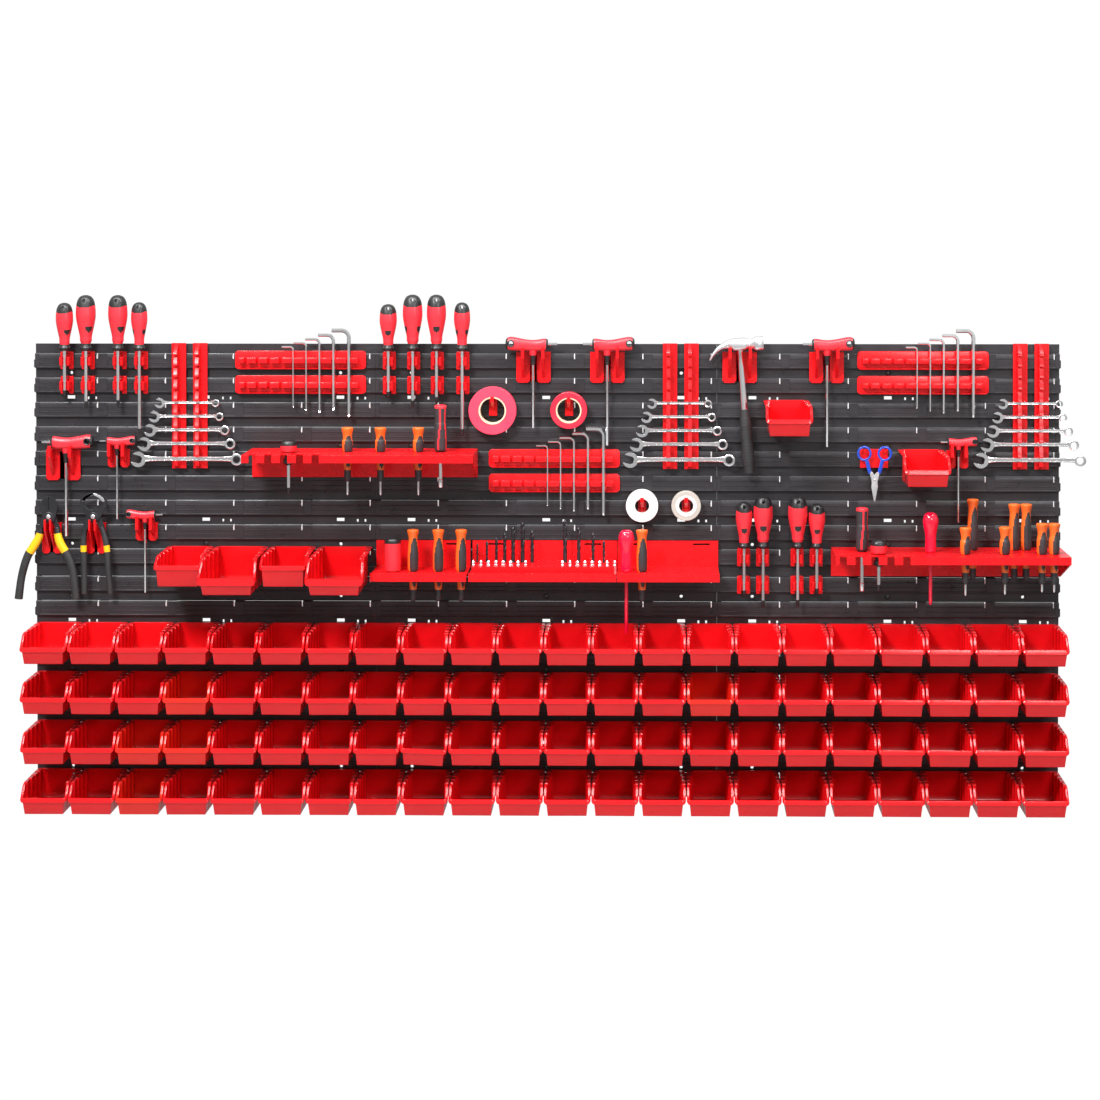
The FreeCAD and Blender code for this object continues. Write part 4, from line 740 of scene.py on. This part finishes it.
# ---- T-handle keys
def t_key(small, mirrored, shaft):
    """T-handle key: hole and dark cap at one end, steel stub at the other, dark neck and hexagonal shaft."""
    scale = 0.72 if small else 1.0
    tall = 16.0 / 24.0 if small else 1.0
    deep = 6.5 / 9.5 if small else 1.0
    flip = -1 if mirrored else 1
    stations = smooth_path([
        (-46, 12.8, 4.0), (-45.2, 12.8, 7.6), (-42, 13.0, 10.4), (-36, 13.0, 11.4), (-28, 12.2, 11.0),
        (-17, 10.8, 10.2), (-6, 9.9, 9.4), (5, 9.9, 9.4), (15, 10.7, 10.2), (20.5, 11.4, 9.9),
        (23.6, 11.8, 8.6), (25, 11.9, 6.6)], 3)
    rings = []
    for x, middle, half in stations:
        thick = 9.2 * min(1.0, (half / 10.4) ** 0.5)
        rings.append([(flip * x * scale, squarer(math.cos(a), 0.8) * thick * deep,
                       (middle + squarer(math.sin(a), 0.8) * half) * tall) for a in turns(24)])

    def paint(band, _):
        x = (stations[band].x + stations[band + 1].x) / 2
        return "black" if x < -41.4 or x > 22.0 else None

    eye = Vector((-37 * scale * flip, 0, 13.6 * tall))
    hole = Shape().prism(circle(20, 4.3 * scale, middle=(eye.x, eye.z)), -30, 30, "black")
    made = Shape().loft(rings, "coral", paint=paint).drilled(hole)
    made.turned([(6.8 * scale, 2.0), (6.6 * scale, -3 * scale), (5.2 * scale, -7 * scale)], "coral", 20)
    neck = ((5.4, -5), (5.0, -10), (4.0, -18), (4.2, -21), (3.2, -23))
    made.turned(smooth_profile([(radius * scale, z * scale) for radius, z in neck], 3), "black", 20)
    made.turned([(2.7 * scale, 0), (2.7 * scale, -shaft + 1), (2.1 * scale, -shaft)], "steel", 6)
    stub = [(flip * x * scale, 0, 12 * tall) for x in (22, 40.4, 41)]
    made.sweep(stub, [2.6 * scale, 2.6 * scale, 2.0 * scale], "steel", 6)
    for face in (-1, 1):
        edge = [eye + Vector((x, face * 9.0 * deep, z)) for x, z in circle(20, 5.1 * scale)]
        made.sweep(edge, 1.1 * scale, "black", 8, wrap=True)
    return made


for node, across, row, mirrored, small, shaft in (
        ("t_key_far_left", 56, 4, True, False, 147), ("t_key_left", 142, 4, True, True, 124),
        ("t_key_low", 189, 7, False, True, 124), ("t_key_middle", 843, 0, False, False, 129),
        ("t_key_centre", 967.5, 0, True, False, 158), ("t_key_right", 1336, 0, True, False, 160),
        ("t_key_far_right", 1556, 4, True, True, 127)):
    made = t_key(small, mirrored, shaft)
    shaped(made.moved(on_ledge(across, row, 10.9 if small else 5.0, 28.5)), node, node, "coral_grip")


# ---- rolls of tape
TAPES = (
    # across, ledge, peg's top, outer radius, hole's radius, width, colour, core's look and thickness, slot
    (775, 2, 8.0, 40.0, 20.7, 19, (0.86, 0.055, 0.110), "card", 2.4, "red_tape"),
    (903, 2, 7.0, 30.7, 19.2, 19, (0.84, 0.020, 0.050), "card", 2.2, "red_tape"),
    (1026, 6, 5.0, 27.0, 12.0, 19, (0.86, 0.86, 0.86), "white_core", 2.4, "white_tape"),
    (1100, 6, 5.0, 24.7, 12.0, 16, (0.50, 0.47, 0.42), "white_core", 5.5, "clear_tape"),
)
for number, (across, row, peg, outer, hole, wide, colour, core, thick, slot) in enumerate(TAPES, start=1):
    place = on_ledge(across, row, peg + 0.9 - hole, 17.6)
    tape = "tape_%d" % number
    LOOKS[tape] = material(tape, colour, 0.34, coat=0.2, uneven=0.05, bump=0.25, rings=place)
    core_edge = hole + thick
    section = [
        (hole, 0.2), (hole, wide - 0.2), (hole + 0.3, wide), (core_edge, wide),
        (core_edge + 0.1, wide - 0.5), (outer - 0.6, wide - 0.3), (outer, wide - 0.8), (outer, 0.8),
        (outer - 0.6, 0.3), (core_edge + 0.1, 0.5), (core_edge, 0), (hole + 0.3, 0)]
    rings = [[(r * math.cos(a), -out, r * math.sin(a)) for r, out in section] for a in turns(72)]
    looks = 4 * [core] + 5 * [None] + 3 * [core]
    roll = Shape().loft(rings, tape, wrap=True, paint=lambda band, k: looks[k])
    node = "tape_roll_%d" % number
    shaped(roll.moved(place), node, node, slot)


# ---- hammer
def oval(x, middle, tall, deep):
    """Upright rounded square at one place across."""
    return [(x, squarer(math.cos(a), 0.62) * deep, middle + squarer(math.sin(a), 0.62) * tall)
            for a in turns(28)]


head = Shape().loft([oval(*sizes) for sizes in (
    (40, 11, 11.0, 9.4), (39.2, 11, 11.8, 10.2), (27, 11, 11.8, 10.2), (25, 11, 10.8, 9.4),
    (22, 11.3, 8.6, 7.8), (17, 12, 7.6, 7.6), (12, 12.4, 9.0, 9.4), (9, 12.2, 10.6, 10.0),
    (-9, 12.2, 10.6, 10.0), (-13, 12.8, 8.8, 9.4), (-20, 13.2, 6.6, 8.8), (-26, 12.2, 5.6, 8.4)
)], "dull_steel")
CLAW = ((-20, 4.4, 13.2), (-30, 4.9, 10.2), (-39, 5.4, 4.4), (-46.5, 5.9, -3.6), (-51.6, 6.2, -11.0))
for face in (-1, 1):
    claw = smooth_path([(x, face * y, z) for x, y, z in CLAW])
    thick = [5.8 - 4.9 * (k / (len(claw) - 1)) ** 0.8 for k in range(len(claw))]
    head.sweep(claw, thick, "dull_steel", 14, flat=0.9)
lean = leaning(-4.5)
hammer_place = on_ledge(1190, 0, 5.0, 28.5)
shaped(head.moved(hammer_place, lean), "hammer_head", "hammer", "chrome_steel", smooth=50)
neck = smooth_profile([(5.6, 16), (5.9, 0), (5.0, -14), (5.6, -60), (6.3, -100)])
handle = Shape().turned(neck, "steel", 24)
ribs = []
for k in range(60):
    share = k / 59
    radius = 7.6 + 2.2 * min(1.0, share * 4) + 0.7 * math.cos(share * 9) * share
    rib = 0.35 if k % 3 == 0 and 6 < k < 54 else 0
    ribs.append((min(10.8, radius + rib), -97.5 - k * 107.0 / 59))
handle.turned([(5.5, -97)] + ribs + [(8.6, -204.8), (4, -205)], "rubber", 28)
shaped(handle.moved(hammer_place, lean), "hammer_handle", "hammer", "black_rubber", smooth=55)


# ---- pliers, pincers and scissors
def arm(points, radii, bands):
    """Curved grip through (across, up) points. bands are (share of the length, look) from the pivot on."""
    path = smooth_path([(x, 0, z) for x, z in points], 6)
    sizes = [size.x for size in smooth_path([(radius, 0) for radius in radii], 6)]
    count = len(path) - 1

    def paint(band, _):
        share = band / count
        return next(look for end, look in bands if share <= end)

    return Shape().sweep(path, sizes, bands[0][1], 18, 0.9, paint=paint)


def flipped(loop):
    return [(-x, z) for x, z in reversed(loop)]


CUTTER_JAW = [(-9, -8), (-12, 2), (-15, 14), (-14.4, 22), (-12, 28), (-6, 33), (-1, 34), (-1, 12), (2, 8),
              (10, 0), (15, -12), (18.5, -21), (12, -24), (9, -17), (6, -10)]
PINCER_JAW = [(-8, -6), (-14, 2), (-19, 10), (-23, 19), (-23, 27), (-19, 32), (-12, 36.5), (-5, 39.2),
              (-1, 40), (-1, 36), (-6, 34), (-12, 30.5), (-16, 25), (-15, 18), (-9, 12), (0, 9), (10, 2),
              (16, -12), (19, -22), (12, -25), (8, -18), (5, -9)]
PINCER_EDGE = [(-1, 36), (-6, 34), (-12, 30.5), (-16, 25), (-20, 25.5), (-18, 31), (-12, 35.6), (-5, 38.4),
               (-1, 39.3)]


def plier(front_layer, jaw, points, radii, bands, edge=None, disc=8.0):
    """Half of a pair of pliers about its pivot. The front half has a disc there, the back half the pin."""
    if front_layer:
        near, far, edge_near, edge_far = 0.2, 4.2, 0.2, 4.7
        hub = Shape().turned([(disc, 3.9), (disc, 4.5), (disc - 0.8, 5.0), (5.4, 5.0)], "dark_steel", 28)
    else:
        near, far, edge_near, edge_far = -4.2, -0.2, -4.5, -0.2
        hub = Shape().turned([(3.9, 0), (3.9, 5.6), (3.4, 6.0), (1.0, 6.1)], "dull_steel", 20)
    made = Shape().prism(jaw, near, far, "dark_steel")
    if edge:
        made.prism(edge, edge_near, edge_far, "dull_steel")
    return made.add(arm(points, radii, bands)).add(hub.moved(turn=FACING_OUT))


CUTTER_BANDS = ((0.10, "dark_steel"), (0.44, "yellow"), (1.0, "rubber"))
cutter = on_ledge(28, 7, 16.0, 33.0)
right_arm = [(13, -18), (15, -34), (20, -48), (30, -65), (38, -85), (42, -108), (45, -139)]
left_arm = [(-13, -18), (-17, -34), (-26, -50), (-36, -66), (-43, -86), (-48, -108), (-52, -139)]
radii = [4.6, 6.6, 7.2, 7.0, 6.8, 6.6, 6.9]
for node, made in (
        ("side_cutters_back_half", plier(False, CUTTER_JAW, right_arm, radii, CUTTER_BANDS)),
        ("side_cutters_front_half", plier(True, flipped(CUTTER_JAW), left_arm, radii, CUTTER_BANDS))):
    shaped(made.moved(cutter), node, node, "black_rubber", 0.5)
PINCER_BANDS = ((0.14, "dark_steel"), (0.31, "rubber"), (0.40, "yellow"), (1.0, "rubber"))
pincer = on_ledge(103, 7, 16.5, 33.0)
right_arm = [(13, -18), (19, -36), (22.5, -56), (24, -80), (25.5, -104), (28, -131)]
left_arm = [(-13, -18), (-16.5, -36), (-17, -56), (-16.4, -80), (-16, -104), (-16, -131)]
radii = [4.4, 5.0, 5.2, 5.1, 5.0, 5.2]
for node, made in (
        ("pincers_back_half", plier(False, PINCER_JAW, right_arm, radii, PINCER_BANDS, PINCER_EDGE)),
        ("pincers_front_half",
         plier(True, flipped(PINCER_JAW), left_arm, radii, PINCER_BANDS, flipped(PINCER_EDGE), 7.0))):
    shaped(made.moved(pincer), node, node, "black_rubber", 0.5)

cutting = on_ledge(1416, 4, -45.0, 26.7)
for node, side in (("scissors_back_half", -1), ("scissors_front_half", 1)):
    level = 1.38 * side
    loop = [(x, -level, z) for x, z in circle(32, 10.4, 10.9, (17.0 * side, 44.0))]
    made = Shape().sweep(loop, 1.9, "blue", 10, 0.62, wrap=True)
    stem = ((13.5, 34.5), (11.5, 27), (9.5, 18), (6.8, 10))
    stem_radii = [2.4, 2.8, 3.1, 3.2, 3.2, 3.2, 3.2, 3.3, 3.3, 3.3, 3.2, 3.0, 2.6]
    made.sweep(smooth_path([(x * side, -level, z) for x, z in stem]), stem_radii, "blue", 12, 0.36)
    blade = ((8.6, 14), (5.5, 0), (2.5, -9), (-0.3, -36), (-1.0, -37), (-5.5, -12), (-4.5, 2), (3.4, 13))
    made.prism([(x * side, z) for x, z in blade], level - 1.0, level + 1.0, "dull_steel")
    if side < 0:
        pin = Shape().turned([(1.9, 0), (1.9, 3.0), (1.5, 3.4), (0.3, 3.4)], "steel", 18)
        made.add(pin.moved(turn=FACING_OUT))
    shaped(made.moved(cutting), node, node, "blue_plastic", 0.2)


# ---- tools in the shelves
# Height zero is a tool's top, and floor, below zero, is where the shelf's floor is. facing is the direction
# that the tool's inserts or ridges face.
def slim_driver(length, floor, facing):
    """Orange driver with a flared flat top, dark inserts, black ferrule and thin steel shaft."""
    def paint(angle, z):
        if z < floor - 30:
            return "insert"
        reach = (z - (floor - 26)) / (-13 - (floor - 26))
        widest = 62 * math.sin(math.pi * min(1, max(0, reach))) ** 0.45
        return "insert" if 0 < reach < 1 and apart(angle, facing) < widest else None

    profile = smooth_profile([
        (7.4, -0.2), (9.4, -1.2), (9.2, -5), (7.6, -12), (7.2, -20), (8.6, 0.55 * floor), (8.6, floor + 8),
        (7.6, floor + 1.6), (6.3, floor - 2), (6.2, floor - 24), (5.4, floor - 34), (5.6, floor - 42),
        (4.3, floor - 47), (3.2, floor - 49.5)])
    made = Shape().turned([(0.5, 0)] + profile, "orange", 32, 4, 0.03, paint)
    return made.turned([(2.0, floor - 48), (2.0, -length + 3), (1.2, -length)], "steel", 14)


def stubby(length, floor, _):
    """Short thick driver with a dark cap, a dark bit holder below the shelf and a dark tip."""
    def paint(_, z):
        return "black" if z > -9.5 or z < floor + 1 else None

    profile = smooth_profile([
        (5, -0.4), (10, -2.0), (12.6, -5.5), (13.4, -10), (13.2, floor + 6), (12.4, floor + 2.4),
        (9.6, floor + 0.6), (5.9, floor - 0.5), (5.8, floor - 8.5), (3.4, floor - 10.8)])
    made = Shape().turned(profile, "coral", 36, 6, 0.02, paint)
    made.turned([(4.2, floor - 8), (8.6, floor - 11), (8.2, floor - 18), (3.2, floor - 21)], "black", 24)
    made.turned([(3.0, floor - 20), (3.0, -length + 12)], "steel", 16)
    return made.turned([(3.1, -length + 12), (2.2, -length + 2), (0.8, -length)], "black", 12)


def ratchet(length, floor, facing):
    """Dark driver with a coral top and two coral ridges, and a socket at the end of its shaft."""
    def paint(angle, z):
        ridge = 34 + 10 * math.sin(z * 0.07)
        return "coral" if z > -5 or (z > floor + 4 and abs(apart(angle, facing) - ridge) < 8) else None

    profile = smooth_profile([
        (5, -0.2), (9, -1.6), (10.3, -6), (9.4, -28), (10.2, 0.45 * floor), (10.1, floor + 10),
        (9.2, floor + 3), (6.4, floor + 0.4), (6.3, floor - 6), (3.4, floor - 8)], 5)
    made = Shape().turned(profile, "insert", 40, 0, 0, paint)
    return made.turned([(3.2, floor - 7), (3.2, -length + 14), (4.0, -length + 13), (4.0, -length + 1),
                        (3.4, -length)], "steel", 16)


def tester(length, floor, _):
    """Voltage tester, red from its top to its tip."""
    profile = smooth_profile([
        (4, -0.3), (9, -2.6), (12.4, -9), (13.1, -17), (11.4, -27), (9.4, -38), (9.2, floor + 6),
        (8.6, floor + 1.2), (6.9, floor + 0.3), (6.8, floor - 5), (3.4, floor - 7.4)], 5)
    made = Shape().turned(profile, "bulb", 36)
    return made.turned([(3.1, floor - 7), (3.0, -length + 3), (1.6, -length)], "bulb", 18)


KINDS = {"slim": slim_driver, "stubby": stubby, "ratchet": ratchet, "tester": tester}
LONG_SHELF_FLOOR = ledge(8) + 28.0
SHELF_TOOLS = {
    # floor below the board's top, then for each tool: kind, across, out, top and tip below the board's top
    "left": (ledge(4) - 5.6, (
        ("stubby", 440, 84, 154, 246), ("slim", 536, 70, 135, 248), ("slim", 591, 70, 135, 248),
        ("slim", 654, 70, 135, 248), ("ratchet", 691, 70, 97, 235))),
    "right": (ledge(8) - 5.6, (
        ("ratchet", 1392, 62, 268, 408), ("stubby", 1417, 92, 317, 404), ("tester", 1505, 70, 275, 429),
        ("slim", 1560, 92, 297, 410), ("slim", 1578, 46, 256, 371), ("slim", 1625, 92, 296, 408),
        ("slim", 1647, 46, 264, 380), ("slim", 1667, 46, 264, 380), ("slim", 1686, 92, 290, 404),
        ("slim", 1706, 92, 290, 404))),
    "long": (LONG_SHELF_FLOOR, (
        ("stubby", 611, 70, 318, 400), ("slim", 645, 70, 305, 423), ("slim", 687, 70, 305, 423),
        ("slim", 725, 70, 305, 423), ("tester", 1000, 70, 305, 478), ("slim", 1026, 70, 305, 423))),
}
for shelf, (surface, tools) in SHELF_TOOLS.items():
    whole = Shape()
    for number, (kind, across, out, top, tip) in enumerate(tools):
        facing = -55 - 8 * (number % 3)
        whole.add(KINDS[kind](tip - top, top - surface, facing).moved(on_board(across, top, out)))
    node = "shelf_tools_" + shelf
    shaped(whole, node, node, "orange_grip")

bits = Shape()
bit = Shape().turned([(3.4, -25), (3.6, -24), (3.6, -7.5), (2.5, -6.5), (2.5, -5.5), (3.3, -4.6), (3.3, -3),
                      (2.2, -1.2), (0.6, -0.1)], "dull_steel", 6)
for start in (746.0, 894.0):
    for k in range(8):
        turn = Matrix.Rotation(math.radians(9 * k), 4, "Z")
        bits.add(bit.moved(on_ledge(start + 12.4 * k, 8, -8.0, 76.0), turn))
shaped(bits, "driver_bits", "driver_bits", "chrome_steel", 0.15, 25)


def drill(radius, length):
    """Twist drill: two lands and two spiral flutes, plain shank at the foot."""
    rings = []
    flute = 0.62 * length
    steps = int(flute / 0.9)
    for k in range(steps + 1):
        z = -k * flute / steps
        turn = z / (radius * 6.5) * math.pi
        sharp = min(1.0, 0.12 + k / 4)
        ring = []
        for a in turns(16):
            r = radius * sharp * (1.0 - 0.42 * max(0.0, math.cos(2 * a)) ** 1.2)
            ring.append((r * math.cos(a + turn), r * math.sin(a + turn), z))
        rings.append(ring)
    made = Shape().loft(rings, "dark_steel")
    return made.turned([(radius * 0.97, -flute + 0.6), (radius * 0.97, -length)], "dark_steel", 16)


drills = Shape()
for across, radius, top in (
        (750, 1.6, 332), (766, 2.0, 328), (782, 2.4, 322), (796, 2.8, 314), (810, 3.2, 304), (826, 3.6, 296),
        (842, 3.0, 310), (897, 3.6, 292), (920, 3.2, 304), (944, 2.8, 314), (962, 2.2, 327)):
    drills.add(drill(radius, LONG_SHELF_FLOOR + 3 - top).moved(on_board(across, top, 42.0)))
shaped(drills, "twist_drills", "twist_drills", "black_steel", smooth=30)


# ---- studio
scene = bpy.context.scene
scene.view_settings.view_transform = "Standard"
world = bpy.data.worlds.new("studio")
scene.world = world
world.use_nodes = True
nodes, links = world.node_tree.nodes, world.node_tree.links
SEEN_STRENGTH, DIFFUSE_STRENGTH = 1.02, 0.13
rays = nodes.new("ShaderNodeLightPath")


def chosen_by(ray, off, on):
    """Strength "on" for one kind of ray and "off" for the rest; each is a number or a node's output."""
    choice = nodes.new("ShaderNodeMix")
    choice.data_type = "FLOAT"
    for socket, strength in (("A", off), ("B", on)):
        if isinstance(strength, float):
            choice.inputs[socket].default_value = strength
        else:
            links.new(strength, choice.inputs[socket])
    links.new(rays.outputs[ray], choice.inputs["Factor"])
    return choice.outputs["Result"]


parts = nodes.new("ShaderNodeSeparateXYZ")
links.new(nodes.new("ShaderNodeTexCoord").outputs["Generated"], parts.inputs["Vector"])
height = nodes.new("ShaderNodeMapRange")
for socket, value in (("From Min", -0.5), ("From Max", 0.3), ("To Min", 0.12), ("To Max", 0.80)):
    height.inputs[socket].default_value = value
links.new(parts.outputs["Z"], height.inputs["Value"])
lit = chosen_by("Is Glossy Ray", DIFFUSE_STRENGTH, height.outputs["Result"])
background = nodes["Background"]
background.inputs["Color"].default_value = (1, 1, 1, 1)
links.new(chosen_by("Is Camera Ray", lit, SEEN_STRENGTH), background.inputs["Strength"])


def softbox(name, place, aim, width, height, power):
    light = bpy.data.lights.new(name, "AREA")
    light.shape = "RECTANGLE"
    light.size, light.size_y, light.energy = width, height, power
    made = bpy.data.objects.new(name, light)
    made.location = place
    made.rotation_euler = (Vector(aim) - Vector(place)).to_track_quat("-Z", "Y").to_euler()
    scene.collection.objects.link(made)


softbox("overhead", (0.1, -0.9, 2.1), (0.1, -0.1, -0.25), 3.8, 0.4, 95)
softbox("key", (-1.2, -2.7, 2.4), (0.0, 0.0, 0.0), 0.8, 0.5, 125)
softbox("front", (1.4, -3.4, 1.3), (0.1, 0.0, 0.0), 0.9, 0.7, 32)

FLOOR_LEVEL = -1.05
floor_corners = [(x, y, FLOOR_LEVEL) for x, y in ((-6, -6), (6, -6), (6, 0.2), (-6, 0.2))]
floor_mesh = bpy.data.meshes.new("floor")
floor_mesh.from_pydata(floor_corners, [], [(0, 1, 2, 3)])
floor_mesh.materials.append(
    material("floor_paint", (0.60, 0.60, 0.60), 0.6, uneven=0.01, grain=300.0, bump=0.02))
floor = bpy.data.objects.new("floor", floor_mesh)
scene.collection.objects.link(floor)

lens = bpy.data.cameras.new("camera")
lens.sensor_width = 36.0
lens.lens = 77.56
lens.shift_x = -0.0664
lens.shift_y = -0.2855
camera = bpy.data.objects.new("camera", lens)
camera.location = (0.182, -4.0, 0.635)
camera.rotation_euler = (math.radians(89.0), 0, math.radians(0.75))
scene.collection.objects.link(camera)
scene.camera = camera
